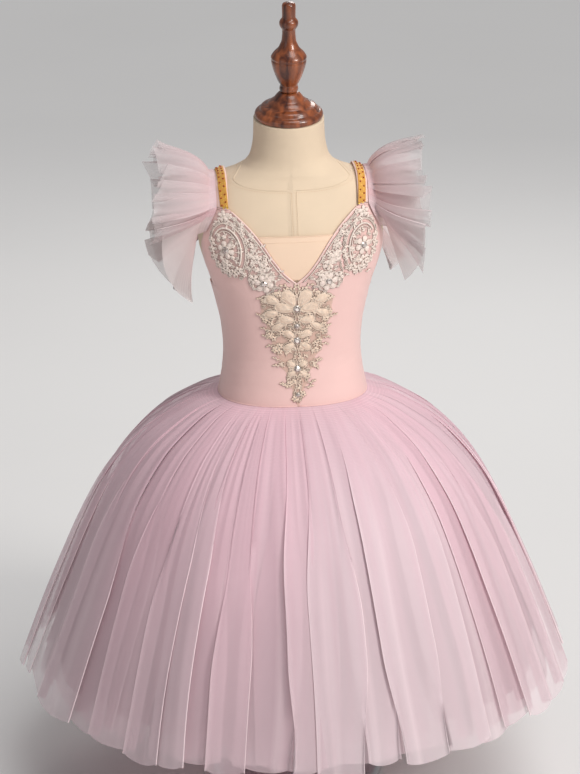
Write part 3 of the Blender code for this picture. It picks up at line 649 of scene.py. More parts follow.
# %% Sections of the figure
BODY = [
    # height, half width, half depth, centre y, squareness
    (-0.110, 0.1035, 0.0850, 0.000, 2.30),
    (-0.060, 0.1045, 0.0860, 0.000, 2.30),
    (0.000, 0.1010, 0.0835, 0.000, 2.30),
    (0.030, 0.0955, 0.0790, 0.000, 2.30),
    (0.066, 0.0925, 0.0760, 0.000, 2.25),
    (0.100, 0.0950, 0.0775, 0.000, 2.25),
    (0.130, 0.1010, 0.0800, 0.000, 2.25),
    (0.160, 0.1085, 0.0820, 0.000, 2.30),
    (0.190, 0.1190, 0.0825, 0.000, 2.35),
    (0.220, 0.1265, 0.0800, 0.001, 2.40),
    (0.250, 0.1275, 0.0740, 0.002, 2.40),
    (0.280, 0.1220, 0.0650, 0.004, 2.40),
    (0.298, 0.1140, 0.0590, 0.005, 2.40),
    (0.309, 0.0985, 0.0560, 0.005, 2.30),
    (0.316, 0.0785, 0.0540, 0.004, 2.20),
    (0.324, 0.0625, 0.0520, 0.004, 2.10),
    (0.338, 0.0530, 0.0495, 0.003, 2.00),
    (0.360, 0.0488, 0.0475, 0.002, 2.00),
    (0.400, 0.0474, 0.0465, 0.001, 2.00),
]
half_width, half_depth, centre_y, squareness = (smooth_column(BODY, i) for i in (1, 2, 3, 4))
NECK_TILT = math.radians(8)
NECK_TOP = 0.386


def body_point(turn, height, ease=0.0):
    """Points round the figure: turn 0 is the front, a quarter turn is +X. Takes arrays."""
    turn, height = np.broadcast_arrays(np.asarray(turn, float), np.asarray(height, float))
    power = squareness(height)
    sine, cosine = np.sin(turn), np.cos(turn)
    x = (half_width(height) + ease) * np.sign(sine) * np.abs(sine) ** (2 / power)
    y = centre_y(height) - (half_depth(height) + ease) * np.sign(cosine) * np.abs(cosine) ** (2 / power)
    return np.stack([x, y, SEAM + height], -1)


def turn_of_x(x, height, ease=0.0):
    share = np.clip(np.abs(x) / (half_width(height) + ease), 0, 1)
    return np.sign(x) * np.arcsin(share ** (squareness(height) / 2))


def on_front(x, height, ease):
    return body_point(turn_of_x(x, height, ease), height, ease)


def linen_cover():
    heights = np.concatenate([np.linspace(-0.110, 0.29, 70), np.linspace(0.295, NECK_TOP, 50)])
    turns = np.linspace(0, 2 * math.pi, 144, endpoint=False)
    points = body_point(turns[None], heights[:, None])
    tilt = ease_in(heights, 0.340, NECK_TOP)[:, None]
    points[..., 2] += points[..., 1] * math.tan(NECK_TILT) * tilt
    underside = points[:1] * [0.93, 0.93, 1]
    centre = underside * [0.001, 0.001, 1]
    lid = points[-1:] * [0.001, 0.001, 1]
    lid[..., 2] = points[-1, :, 2].mean()
    points = np.concatenate([centre, underside, points, lid])
    levels = np.concatenate([[-0.2, -0.115], heights, [NECK_TOP + 0.04]])
    uv = np.stack(np.broadcast_arrays(turns[None] * 0.1, levels[:, None]), -1)
    return grid_piece("linen_cover", points, uv, form_linen, closed=True)


cover = linen_cover()
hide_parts("form_torso")
print("cover faces:", len(cover.data.polygons))

# %% [markdown]
# ## The form's seams
# The linen cover is cut in panels. A doubled seam runs up the middle of the chest to the seam that joins
# the neck piece. A pressed seam shows as a low ridge, so each is a cord sunk most of its depth into the
# cover, with the needle's small stitches lying beside it.

# %% Seams of the cover


def outward_at(turn, height, ease=0.0):
    """The directions that point straight out of the figure at these places."""
    step = 0.004
    run = body_point(turn + step, height, ease) - body_point(turn - step, height, ease)
    rise = body_point(turn, height + 0.002, ease) - body_point(turn, height - 0.002, ease)
    out = np.cross(run, rise)
    return out / np.maximum(np.linalg.norm(out, axis=-1, keepdims=True), 1e-9)


def cords_piece(name, lines, finish, sides=6, flatten=1.0):
    verts, faces = tube_mesh(lines, sides, flatten)
    mesh = bpy.data.meshes.new(name)
    mesh.from_pydata(verts, [], faces)
    mesh.uv_layers.new(name="cloth")
    mesh.shade_smooth()
    return add_piece(name, mesh, finish)


def stitches(points, normals, radius=0.00022, long=0.0022, gap=0.0012, lift=0.00012):
    """Short threads laid end to end along a line, each one bowed up out of the cloth."""
    points, normals = np.asarray(points), np.asarray(normals)
    steps = np.linalg.norm(np.diff(points, axis=0), axis=1)
    run = np.concatenate([[0], np.cumsum(steps)])
    count = int(run[-1] / (long + gap))
    lines = []
    for i in range(count):
        at = np.array([0, 0.25, 0.5, 0.75, 1.0]) * long + i * (long + gap)
        spots = np.stack([np.interp(at, run, points[:, k]) for k in range(3)], -1)
        up = np.stack([np.interp(at, run, normals[:, k]) for k in range(3)], -1)
        arch = np.array([-0.6, 0.7, 1.0, 0.7, -0.6])[:, None] * (radius + lift)
        lines.append((spots + up * arch, up, radius))
    return lines


def figure_line(turn, height, ease):
    turn, height = np.broadcast_arrays(np.asarray(turn, float), np.asarray(height, float))
    return body_point(turn, height, ease), outward_at(turn, height, ease)


neck_turns = np.linspace(0, 2 * math.pi, 97)
neck_seam = 0.3215 - 0.0245 * np.clip(np.cos(neck_turns), 0, 1) ** 1.5
seam_lines = [(*figure_line(neck_turns, neck_seam, -0.0003), 0.0008)]
stitch_lines = stitches(*figure_line(neck_turns, neck_seam - 0.0026, 0.0))
for x in (-0.0042, 0.0042):
    heights = np.linspace(0.150, 0.2965, 40)
    seam_lines.append((*figure_line(turn_of_x(x, heights), heights, -0.0003), 0.0007))
    beside = turn_of_x(x * 0.62, heights)
    stitch_lines += stitches(*figure_line(beside, heights, 0.0))
cover_seams = cords_piece("cover_seams", seam_lines, form_linen)
cover_stitches = cords_piece("cover_stitches", stitch_lines, seam_thread, 4)
print("stitches on the cover:", len(stitch_lines))

# %% [markdown]
# ## Turned cap, finial and stand
# The cap and finial are turned on a lathe, so each is one profile swept round its axis: steps, beads and
# coves that each catch a line of light. They share the neck's slight forward tilt. The stand below is
# plain, because the skirt hides nearly all of it.

# %% Turned wood and steel
CAP_PROFILE = [
    # radius, height above the cap's underside
    (0.0, 0.0364), (0.0125, 0.0364), (0.0175, 0.0315), (0.0210, 0.0262), (0.0232, 0.0252),
    (0.0280, 0.0212), (0.0290, 0.0188), (0.0365, 0.0172), (0.0390, 0.0140), (0.0395, 0.0112),
    (0.0440, 0.0100), (0.0463, 0.0068), (0.0465, 0.0034), (0.0450, 0.0), (0.0, 0.0),
]
FINIAL_PROFILE = [
    (0.0, 0.1615), (0.0070, 0.1608), (0.0093, 0.1580), (0.0090, 0.1435), (0.0094, 0.1388),
    (0.0118, 0.1370), (0.0132, 0.1326), (0.0118, 0.1276), (0.0092, 0.1250), (0.0088, 0.1200),
    (0.0098, 0.1080), (0.0140, 0.0983), (0.0205, 0.0920), (0.0241, 0.0865), (0.0241, 0.0845),
    (0.0228, 0.0828), (0.0239, 0.0808), (0.0232, 0.0760), (0.0212, 0.0686), (0.0180, 0.0593),
    (0.0142, 0.0505), (0.0112, 0.0460), (0.0127, 0.0435), (0.0127, 0.0385), (0.0112, 0.0368),
    (0.0, 0.0368),
]
BASE_PROFILE = [
    (0.0, 0.0440), (0.0170, 0.0440), (0.0190, 0.0420), (0.0210, 0.0260), (0.0260, 0.0230),
    (0.1120, 0.0160), (0.1200, 0.0130), (0.1250, 0.0060), (0.1230, 0.0), (0.0, 0.0),
]
POLE_PROFILE = [(0.0, 0.4797), (0.0125, 0.4797), (0.0125, 0.0443), (0.0, 0.0443)]


def seat_on_neck(piece):
    piece.rotation_euler = (NECK_TILT, 0, 0)
    piece.location = (0, -0.0003 * math.sin(NECK_TILT), SEAM + NECK_TOP + 0.0003 * math.cos(NECK_TILT))
    return piece


neck_cap = seat_on_neck(turned_piece("neck_cap", CAP_PROFILE, walnut))
finial = seat_on_neck(turned_piece("finial", FINIAL_PROFILE, walnut))
pole = turned_piece("pole", POLE_PROFILE, brushed_steel, 48)
base = turned_piece("base", BASE_PROFILE, brushed_steel)
for piece, node, slot in (
    (neck_cap, "form_neck_cap", "walnut"), (finial, "form_finial", "walnut"),
    (pole, "stand_pole", "stand_metal"), (base, "stand_base", "stand_metal"),
):
    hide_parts(node)
print("finial top at", round(max(v.co.z for v in finial.data.vertices), 4), "m above the cap's seat")

# %% [markdown]
# ## The bodice
# The bodice is knitted stretch cloth, cut as one front and one back and joined at the sides. It takes the
# figure's own section with a little ease, so a grid of heights and turns makes each panel. Cloth pulled
# over a figure shows shallow drag lines towards the armholes and waist, added as soft ripples.

# %% Front, back and modesty panel
BODICE_EASE, CLOTH, WALL = 0.0013, 0.0015, 0.0012
OUTSIDE = BODICE_EASE + CLOTH
V_POINT, SCOOP_POINT, UNDERARM = 0.1760, 0.1570, 0.1620
FRONT_TIP, BACK_TIP, MODESTY_TOP = 0.2730, 0.2500, 0.2396
SIDE_SEAM = math.pi / 2 - 0.004
NECKLINE = smooth_column(
    [(0.1760, 0), (0.1870, 0.0130), (0.2060, 0.0285), (0.2320, 0.0460), (0.2500, 0.0605),
     (0.2640, 0.0750), (0.2730, 0.0860)], 1)
FRONT_ARMHOLE = smooth_column(
    [(0.1600, 0.1087), (0.1800, 0.1150), (0.2000, 0.1212), (0.2200, 0.1243), (0.2400, 0.1205),
     (0.2580, 0.1120), (0.2730, 0.1050)], 1)
BACK_SCOOP = smooth_column(
    [(0.1570, 0), (0.1600, 0.0190), (0.1660, 0.0360), (0.1760, 0.0510), (0.1950, 0.0660),
     (0.2200, 0.0770), (0.2500, 0.0860)], 1)
BACK_ARMHOLE = smooth_column(
    [(0.1600, 0.1087), (0.1800, 0.1150), (0.2000, 0.1200), (0.2200, 0.1190), (0.2400, 0.1110),
     (0.2500, 0.1050)], 1)


def drag_lines(turn, height):
    """Shallow ripples of worn stretch cloth: level ones at the waist, slanting ones at the arms."""
    side = np.abs(np.sin(turn)) ** 2
    waist = np.sin(height * 520 + 3 * np.sin(turn * 3)) * np.exp(-(((height - 0.055) / 0.035) ** 2)) * side
    slant = np.sin(height * 330 + np.abs(np.sin(turn)) * 26) * ease_in(height, 0.08, 0.15)
    arm = slant * (1 - ease_in(height, 0.17, 0.24)) * side**2
    return 0.00028 * waist + 0.00030 * arm


def bodice_panel(name, levels, inner_edge, outer_edge, inner_from, tip, back, finish):
    levels = np.asarray(levels)
    inner = np.where(levels > inner_from, turn_of_x(inner_edge(levels), levels, OUTSIDE), 0)
    outer = np.where(levels > UNDERARM, turn_of_x(outer_edge(levels), levels, OUTSIDE), SIDE_SEAM)
    share = np.linspace(0, 1, 56)[None]
    half = inner[:, None] + (outer - inner)[:, None] * share
    turns = np.concatenate([-half[:, ::-1], half], axis=1) + (math.pi if back else 0)
    heights = np.repeat(levels[:, None], turns.shape[1], 1)
    edge = np.concatenate([share[:, ::-1], share], axis=1)
    ripple = drag_lines(turns, heights) * (1 - ease_in(edge, 0.9, 1.0))
    points = body_point(turns, heights, OUTSIDE + ripple)
    skip = np.zeros((len(levels), turns.shape[1]), bool)
    skip[:, 55] = True
    uv = np.stack([turns * 0.1, heights], -1)
    piece = grid_piece(name, points, uv, finish, skip=skip)
    build = bmesh.new()
    build.from_mesh(piece.data)
    bmesh.ops.remove_doubles(build, verts=build.verts, dist=0.00002)
    build.to_mesh(piece.data)
    build.free()
    return thicken(piece, WALL)


front_levels = np.unique(np.concatenate([np.linspace(0, V_POINT, 54), np.linspace(V_POINT, FRONT_TIP, 40)]))
back_levels = np.unique(np.concatenate([np.linspace(0, SCOOP_POINT, 46), np.linspace(SCOOP_POINT, BACK_TIP, 38)]))
bodice_front = bodice_panel("bodice_front_panel", front_levels, NECKLINE, FRONT_ARMHOLE, V_POINT, FRONT_TIP, False, stretch_knit)
bodice_back = bodice_panel("bodice_back_panel", back_levels, BACK_SCOOP, BACK_ARMHOLE, SCOOP_POINT, BACK_TIP, True, stretch_knit)

mesh_levels = np.linspace(V_POINT + 0.004, MODESTY_TOP, 30)
mesh_half = turn_of_x(NECKLINE(mesh_levels) - 0.0006, mesh_levels, BODICE_EASE)
mesh_turns = mesh_half[:, None] * np.linspace(-1, 1, 40)[None]
mesh_heights = np.repeat(mesh_levels[:, None], 40, 1)
modesty = grid_piece(
    "modesty_mesh", body_point(mesh_turns, mesh_heights, OUTSIDE - 0.0008),
    np.stack([mesh_turns * 0.09, mesh_heights], -1), nude_mesh)
thicken(modesty, 0.0006)
for piece, node, slot, length in (
    (bodice_front, "bodice_front", "stretch_pink", FRONT_TIP),
    (bodice_back, "bodice_back", "stretch_pink", BACK_TIP),
    (modesty, "modesty_panel", "nude_mesh", MODESTY_TOP - V_POINT),
):
    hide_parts(node)
print("bodice front uses", round(cloth_area(bodice_front), 4), "m2 of knit")

# %% [markdown]
# ## Binding, hems and stitching
# The neckline is finished with a narrow rolled binding, and the waist seam with a soft piped roll. The
# mesh panel has a turned hem along its top. These are cords that follow the panels' own edges, and rows
# of machine stitches run beside them, as they do on any sewn edge.

# %% Edges of the bodice
rise = np.linspace(V_POINT - 0.0012, FRONT_TIP - 0.0015, 60)
edge_x = NECKLINE(rise) + 0.0009
edge_turn = turn_of_x(edge_x, rise, OUTSIDE)
edge_turn = np.concatenate([-edge_turn[:0:-1], [0.0], edge_turn[1:]])
edge_rise = np.concatenate([rise[:0:-1], rise])
roll_line = (*figure_line(edge_turn, edge_rise, OUTSIDE + 0.0003), 0.0012)
neck_roll = cords_piece("neckline_roll", [roll_line], binding_satin, 12, 0.85)
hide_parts("neck_binding")
waist_turns = np.linspace(0, 2 * math.pi, 161)
waist_line = (*figure_line(waist_turns, 0.0011, OUTSIDE - 0.0002), 0.0010)
waist_roll = cords_piece("waist_roll", [waist_line], stretch_knit, 10)
hem_turns = np.linspace(-1, 1, 40) * turn_of_x(NECKLINE(MODESTY_TOP) - 0.003, MODESTY_TOP, OUTSIDE)
mesh_hem = cords_piece(
    "mesh_hem",
    [(*figure_line(hem_turns, MODESTY_TOP - 0.0004, OUTSIDE - 0.0008), 0.0007),
     (*figure_line(hem_turns, MODESTY_TOP - 0.0078, OUTSIDE - 0.0009), 0.0005)],
    nude_mesh, 6)
sewing = []
for side in (-1, 1):
    sewing += stitches(*figure_line(side * turn_of_x(NECKLINE(rise) + 0.0048, rise, OUTSIDE), rise, OUTSIDE))
    arm = np.linspace(UNDERARM + 0.003, FRONT_TIP, 50)
    sewing += stitches(*figure_line(side * turn_of_x(FRONT_ARMHOLE(arm) - 0.004, arm, OUTSIDE), arm, OUTSIDE))
    arm = np.linspace(UNDERARM + 0.003, BACK_TIP, 50)
    behind = math.pi - side * turn_of_x(BACK_ARMHOLE(arm) - 0.004, arm, OUTSIDE)
    sewing += stitches(*figure_line(behind, arm, OUTSIDE))
    scoop = np.linspace(SCOOP_POINT + 0.001, BACK_TIP, 60)
    behind = math.pi - side * turn_of_x(BACK_SCOOP(scoop) + 0.004, scoop, OUTSIDE)
    sewing += stitches(*figure_line(behind, scoop, OUTSIDE))
bodice_stitches = cords_piece("bodice_stitches", sewing, binding_satin, 4)
side_rise = np.linspace(0.0015, UNDERARM + 0.0010, 60)
seam_cords = [(*figure_line(side * math.pi / 2, side_rise, OUTSIDE - 0.0004), 0.0010) for side in (-1, 1)]
for side in (-1, 1):
    across = side * turn_of_x(np.linspace(0.0875, 0.1050, 14), FRONT_TIP, OUTSIDE)
    seam_cords.append((*figure_line(across, FRONT_TIP + 0.0004, OUTSIDE + 0.0001), 0.0011))
    across = math.pi - side * turn_of_x(np.linspace(0.0875, 0.1040, 14), BACK_TIP, OUTSIDE)
    seam_cords.append((*figure_line(across, BACK_TIP + 0.0004, OUTSIDE + 0.0001), 0.0011))
bodice_seams = cords_piece("bodice_seams", seam_cords, stretch_knit, 8)
print("stitches on the bodice:", len(sewing))

# %% [markdown]
# ## Straps and gold braid
# Each strap is a band of the same knit, laid over the shoulder. Looking in at the form from outside, at
# one angle after another, finds the points it lies on. The braid sewn along it is crusted with small
# sequins and dark beads, scattered in rows with a little tilt each, so that they glint one by one.

# %% Straps and sequins
STRAP_X, STRAP_LONG = 0.0975, 0.195
cover_tree = BVHTree.FromObject(cover, bpy.context.evaluated_depsgraph_get())


def over_shoulder(x, angle, ease):
    """The point over the shoulder at x: angle 0 looks from the front, 90 from above, 180 from behind."""
    out = Vector((0, -math.cos(math.radians(angle)), math.sin(math.radians(angle))))
    hit, normal, _, _ = cover_tree.ray_cast(Vector((x, 0.004, SEAM + 0.256)) + out * 0.3, -out)
    return hit + normal * ease


def angle_at_height(x, height, back):
    low, high = (90.0, 240.0) if back else (-60.0, 90.0)
    for _ in range(30):
        middle = (low + high) / 2
        above = over_shoulder(x, middle, 0).z > SEAM + height
        low, high = (middle, high) if above == back else (low, middle)
    return (low + high) / 2


def shoulder_band(x_values, ease, count, trim=0.0, lean=0.0):
    """Points and outward directions of a band over the right shoulder, from front to back.

    lean carries the band's front foot sideways."""
    columns = []
    for x in x_values:
        start = angle_at_height(x, FRONT_TIP + 0.0008 + trim, False)
        end = angle_at_height(x, BACK_TIP + 0.0008 + trim, True)
        shares = np.linspace(0, 1, count)
        columns.append([over_shoulder(x + lean * (1 - t) ** 3, start + (end - start) * t, ease) for t in shares])
    points = np.array(columns).transpose(1, 0, 2)
    normals = np.cross(np.gradient(points, axis=1), np.gradient(points, axis=0))
    return points, normals / np.linalg.norm(normals, axis=-1, keepdims=True)


def to_side(points, side):
    return np.asarray(points) * [side, 1, 1]


strap_x = STRAP_X - 0.0016 + 0.0091 * np.linspace(-1, 1, 13)
strap_points, strap_normals = shoulder_band(strap_x, 0.0030, 64)
curl = (np.abs(np.linspace(-1, 1, 13)) ** 6)[None, :, None] * 0.0007
strap_points = strap_points - strap_normals * curl
trim_x = STRAP_X - 0.0033 + 0.0050 * np.linspace(-1, 1, 9)
trim_points, trim_normals = shoulder_band(trim_x, 0.0040, 64, 0.0005, -0.003)


def scatter_sequins(side, seed):
    """Vertices and faces of the sequins on one braid, each a shallow dish of eight sides."""
    source = random.Random(seed)
    verts, faces = [], []
    rows, across = 56, 4
    for r in range(rows):
        for c in range(across):
            i = (r + 0.5 * (c % 2) + source.uniform(-0.15, 0.15)) / rows * 63
            j = (c + 0.5 + source.uniform(-0.2, 0.2)) / across * 8
            i0, j0 = min(max(int(i), 0), 62), min(int(j), 7)
            spot = trim_points[i0, j0].copy()
            spot += (trim_points[i0 + 1, j0] - trim_points[i0, j0]) * (i - i0)
            spot += (trim_points[i0, j0 + 1] - trim_points[i0, j0]) * (j - j0)
            up = trim_normals[i0, j0] + np.array([source.uniform(-0.28, 0.28) for _ in range(3)])
            up /= np.linalg.norm(up)
            one = np.cross(up, [1, 0, 0])
            one /= np.linalg.norm(one)
            two = np.cross(up, one)
            size = source.uniform(0.00125, 0.00150)
            start = len(verts)
            verts.append(list(to_side(spot + up * 0.0003, side)))
            for k in range(8):
                a = k * math.pi / 4
                verts.append(list(to_side(spot + (one * math.cos(a) + two * math.sin(a)) * size + up * 0.0006, side)))
            order = (1, 2) if side > 0 else (2, 1)
            for k in range(8):
                ends = (start + 1 + k, start + 1 + (k + 1) % 8)
                faces.append((start, ends[order[0] - 1], ends[order[1] - 1]))
    return verts, faces


def beads(places, radius):
    """One mesh of small six-sided balls."""
    verts, faces = [], []
    build = bmesh.new()
    bmesh.ops.create_icosphere(build, subdivisions=1, radius=radius)
    shape = [v.co.copy() for v in build.verts]
    rings = [[v.index for v in f.verts] for f in build.faces]
    build.free()
    for place in places:
        start = len(verts)
        verts.extend([list(Vector(place) + v) for v in shape])
        faces.extend([[start + i for i in ring] for ring in rings])
    return verts, faces


for side, word in ((-1, "left"), (1, "right")):
    strap_uv = np.stack(np.broadcast_arrays(strap_x[None], np.linspace(0, STRAP_LONG, 64)[:, None]), -1)
    strap = grid_piece("strap_band_" + word, to_side(strap_points, side), strap_uv, strap_knit, flip=side > 0)
    thicken(strap, 0.0012)
    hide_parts("strap_" + word)
    trim_uv = np.stack(np.broadcast_arrays(trim_x[None], np.linspace(0, STRAP_LONG, 64)[:, None]), -1)
    braid = grid_piece("braid_" + word, to_side(trim_points, side), trim_uv, gold_braid, flip=side > 0)
    thicken(braid, 0.0007)
    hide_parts("trim_" + word)
    verts, faces = scatter_sequins(side, 40 + side)
    mesh = bpy.data.meshes.new("sequins_" + word)
    mesh.from_pydata(verts, [], faces)
    sequins = add_piece("sequins_" + word, mesh, sequin_gold)
    spots = [
        to_side(trim_points[i, 2 if k % 2 else 6] + trim_normals[i, 4] * 0.0011, side)
        for k, i in enumerate(range(1, 63, 2))
    ]
    verts, faces = beads(spots, 0.00130)
    mesh = bpy.data.meshes.new("beads_" + word)
    mesh.from_pydata(verts, [], faces)
    mesh.shade_smooth()
    garnets = add_piece("beads_" + word, mesh, bead_garnet)
print("sequins on each braid:", len(sequins.data.polygons) // 8)

# %% [markdown]
# ## How a pleated sheet is drawn
# Gathered tulle falls into panels. Where two panels meet, the sheet doubles back on itself in an S: out
# over a fold edge, back underneath, and on into the next panel. One function lists the points of such a
# sheet along its width. For each point it gives the place of its fold, how far it is carried to either
# side by the overlap, its depth, and how much of a pressed edge it is. The tulle finish lightens the
# pressed edges as a painted highlight.

# %% Panels and S-folds
S_FOLD = [
    # carried, depth, crease (how much of a pressed edge, later lightened as a painted highlight)
    (0.62, 0.80, 0.00), (0.88, 0.97, 0.10), (0.96, 0.96, 0.85), (1.00, 0.84, 1.00), (0.94, 0.62, 0.30),
    (0.30, 0.22, 0.00), (-0.45, -0.30, 0.00), (-0.92, -0.62, 0.00), (-1.00, -0.84, 0.00), (-0.90, -0.96, 0.00),
]


def folded_sheet(panels, seed, face_steps=9, uneven=0.35, flips=0.35):
    """Points along a pleated sheet, from one end to the other, as named columns."""
    source = random.Random(seed)
    widths = np.array([1 + source.uniform(-uneven, uneven) for _ in range(panels)])
    edges = np.concatenate([[0], np.cumsum(widths) / widths.sum()])
    tops = [1 if source.random() > flips else -1 for _ in range(panels)]
    strong = [source.uniform(0.35, 1.0) for _ in range(panels)]
    rows = []
    for k in range(panels):
        start_lean, start_depth = (-0.90, -0.96) if tops[k - 1] > 0 else (-0.62, 0.80)
        end_lean, end_depth = (0.62, 0.80) if tops[k] > 0 else (0.90, -0.96)
        start_depth, end_depth = start_depth * strong[k - 1], end_depth * strong[k]
        crease_at = source.uniform(0.25, 0.75)
        crease_high = source.choice((-1, 1)) * source.uniform(0.06, 0.20)
        bulge = source.uniform(0.10, 0.35)
        for j in range(1, face_steps):
            u = j / face_steps
            ridge = max(0.0, 1 - abs(u - crease_at) / 0.14)
            depth = start_depth + (end_depth - start_depth) * u * u * (3 - 2 * u)
            depth += bulge * math.sin(math.pi * u) + crease_high * ridge
            lean = start_lean * (1 - u) + end_lean * u
            place = edges[k] + (edges[k + 1] - edges[k]) * u
            rows.append((place, lean, depth, 0.35 * ridge if crease_high > 0 else 0.0, k, k, u))
        order = S_FOLD if tops[k] > 0 else [(-c, d, e) for c, d, e in S_FOLD[::-1]]
        for i, (carried, depth, crease_highlight) in enumerate(order):
            owner, u = (k, 1.0) if i < 5 else ((k + 1) % panels, 0.0)
            rows.append((edges[k + 1], carried, depth * strong[k], crease_highlight, k, owner, u))
    names = ("place", "carried", "depth", "crease_highlight", "panel", "owner", "u")
    sheet = dict(zip(names, np.array(rows).T))
    sheet["panel"], sheet["owner"] = sheet["panel"].astype(int), sheet["owner"].astype(int)
    return sheet, source


print("points in a sheet of 24 panels:", len(folded_sheet(24, 1)[0]["place"]))

# %% [markdown]
# ## The skirt
# Three tubes of tulle hang from the waist seam, each a little shorter and narrower than the one outside
# it. Every level of the skirt is a blend between the oval of the waist and the round of the hem, so its
# side view is one curve. Fine gathers start at the seam and merge into broad panels lower down. Near the
# hem a few folds open into narrow dark slits.

# %% Three layers of skirt
SKIRT_DROP, HEM_RADIUS, SKIRT_SPREAD = 0.404, 0.388, 0.285
SKIRT_PROFILE = [
    # down, out, fold
    (0.000, 0.00, 0.05), (0.018, 0.10, 0.16), (0.064, 0.23, 0.28), (0.138, 0.38, 0.42), (0.287, 0.56, 0.58),
    (0.430, 0.67, 0.70), (0.590, 0.77, 0.80), (0.742, 0.86, 0.89), (0.907, 0.95, 0.97), (1.000, 1.00, 1.00),
]
skirt_out, skirt_fold = smooth_column(SKIRT_PROFILE, 1), smooth_column(SKIRT_PROFILE, 2)


def skirt_layer(name, node, finish, panels, inset, seam_drop, hem_rise, depth, seed, levels):
    sheet, source = folded_sheet(panels, seed, 9, 0.5, 0.42)
    place, carried, deep, owner, u = (sheet[k][None] for k in ("place", "carried", "depth", "owner", "u"))
    down = np.linspace(0, 1, levels)[:, None] ** 1.25

    def per_panel(low, high):
        return np.array([source.uniform(low, high) for _ in range(panels)])

    sway, opens, hem_step, tone, side_step = (
        per_panel(-1, 1), per_panel(0, 1), per_panel(-1, 1), per_panel(0, 1), per_panel(-1, 1))
    boundary_turn = 2 * math.pi * sheet["place"][8::18]
    opens = np.where(np.abs(np.sin(boundary_turn)) > 0.75, 1.0, opens)
    columns = place.shape[1]
    gather = np.array([source.uniform(-1, 1) for _ in range(columns)])[None]
    starts = np.where(per_panel(0, 1) < 0.30, -0.1, per_panel(0.02, 0.40))[sheet["panel"]][None]
    wakes = 0.04 + 0.96 * ease_in(down, starts, starts + 0.34)
    overlap = (0.34 - 0.16 * ease_in(down, 0.15, 0.9)) * wakes
    opening = np.where(opens[sheet["panel"]] < 0.26, ease_in(down, 0.66, 1.0) * 1.5, 0.0)
    along = place + carried * overlap * (1 - opening) / panels
    drift = np.interp(place[0] * panels, np.arange(panels + 1), np.append(sway, sway[0]))[None]
    along = along + drift * 0.30 / panels * np.sin(down * 2.6)
    turn = 2 * math.pi * along
    seam = body_point(turn, np.zeros_like(turn), 0.00205)
    heading = np.stack([np.sin(turn), -np.cos(turn), np.zeros_like(turn)], -1)
    out, fold = skirt_out(down), skirt_fold(down)
    step = 0.004
    slope_out = (skirt_out(down + step) - skirt_out(down - step)) * SKIRT_SPREAD
    slope_down = np.full_like(slope_out, 2 * step * SKIRT_DROP)
    length = np.hypot(slope_out, slope_down)
    pull = inset * np.maximum(down, 1e-6) ** 0.35
    swell = depth * fold * deep * wakes
    for waves, size, start in ((7, 0.30, 0.4), (11, 0.34, 2.1), (17, 0.26, 4.4)):
        swell = swell + size * depth * fold * np.sin(waves * turn + start + seed + down * 1.2)
    swell = swell + 0.0021 * gather * ease_in(down, 0.0, 0.03) * (1 - ease_in(down, 0.05, 0.60))
    level = seam * [1, 1, 0] * (1 - out[..., None]) + heading * HEM_RADIUS * out[..., None]
    points = level + heading * (swell - pull * slope_down / length)[..., None]
    arc = 0.0055 * np.sin(math.pi * u) ** 0.6 - 0.0030 + 0.0065 * hem_step[owner]
    drop = seam_drop * (1 - down) + pull * slope_out / length + (SKIRT_DROP - hem_rise) * down + arc * down**4
    points[..., 2] = SEAM - drop
    uv = np.stack(np.broadcast_arrays(along * 2.6, down * 0.52), -1)
    # The crease values mark pressed fold edges that the finish lightens as a painted highlight, and the streak values
    # mark the fine gathers near the waist, which it darkens as painted shade.
    extra = {
        "down": np.broadcast_to(down, along.shape),
        "crease_highlight": sheet["crease_highlight"][None] * ease_in(down, 0.02, 0.2) * wakes,
        "tone": tone[owner] * (0.35 + 0.65 * ease_in(down, 0.0, 0.35)) + 0.325 * (1 - ease_in(down, 0.0, 0.35)),
        "gather_shade_streak": (0.5 + 0.5 * gather) * (1 - 0.55 * ease_in(down, 0.1, 0.8)),
    }
    parted = np.zeros(along.shape, bool)
    for k in range(panels):
        fold_start = k * 18 + 8
        parted[:, fold_start + 3 : fold_start + 7] = opening[:, fold_start, None] > 0.70
    piece = grid_piece(name, points, uv, finish, closed=True, flip=True, skip=parted, extra=extra)
    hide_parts(node)
    return piece


skirt_outer = skirt_layer("skirt_outer_tulle", "skirt_outer", tulle_outer, 46, 0.0, -0.0006, 0.0, 0.0072, 11, 64)
skirt_middle = skirt_layer("skirt_middle_tulle", "skirt_middle", tulle_middle_shaded, 33, 0.025, 0.0016, 0.008, 0.0060, 23, 60)
skirt_inner = skirt_layer("skirt_inner_tulle", "skirt_inner", tulle_inner_shaded, 23, 0.047, 0.0040, 0.028, 0.0052, 37, 54)
print("tulle in the three layers:", [round(cloth_area(s), 2) for s in (skirt_outer, skirt_middle, skirt_inner)], "m2")

# %% [markdown]
# ## Flutter sleeves
# Each sleeve is two strips of tulle, pleated small and sewn beside the strap so that they fan out round
# the shoulder. A strip's base runs up the front armhole, over the shoulder and down the back. From each
# point of it a ray of cloth stands out and droops, lower at the ends than on top of the shoulder.

# %% Four ruffles
RUFFLES = [
    # name, side, front foot, back foot, fan from, fan to, lift top, lift end, droop, arch, width top, width end, step
    ("upper_left", -1, 0.258, 0.246, -44, 238, 27, 30, 4, 46, 0.086, 0.096, 0.0),
    ("upper_right", 1, 0.258, 0.246, -66, 238, 28, 54, 4, 46, 0.082, 0.098, 0.0),
    ("lower_left", -1, 0.242, 0.212, -80, 256, -8, 80, 5, 20, 0.062, 0.098, 0.0036),
    ("lower_right", 1, 0.242, 0.224, -84, 252, -8, 76, 5, 20, 0.062, 0.080, 0.003),
]


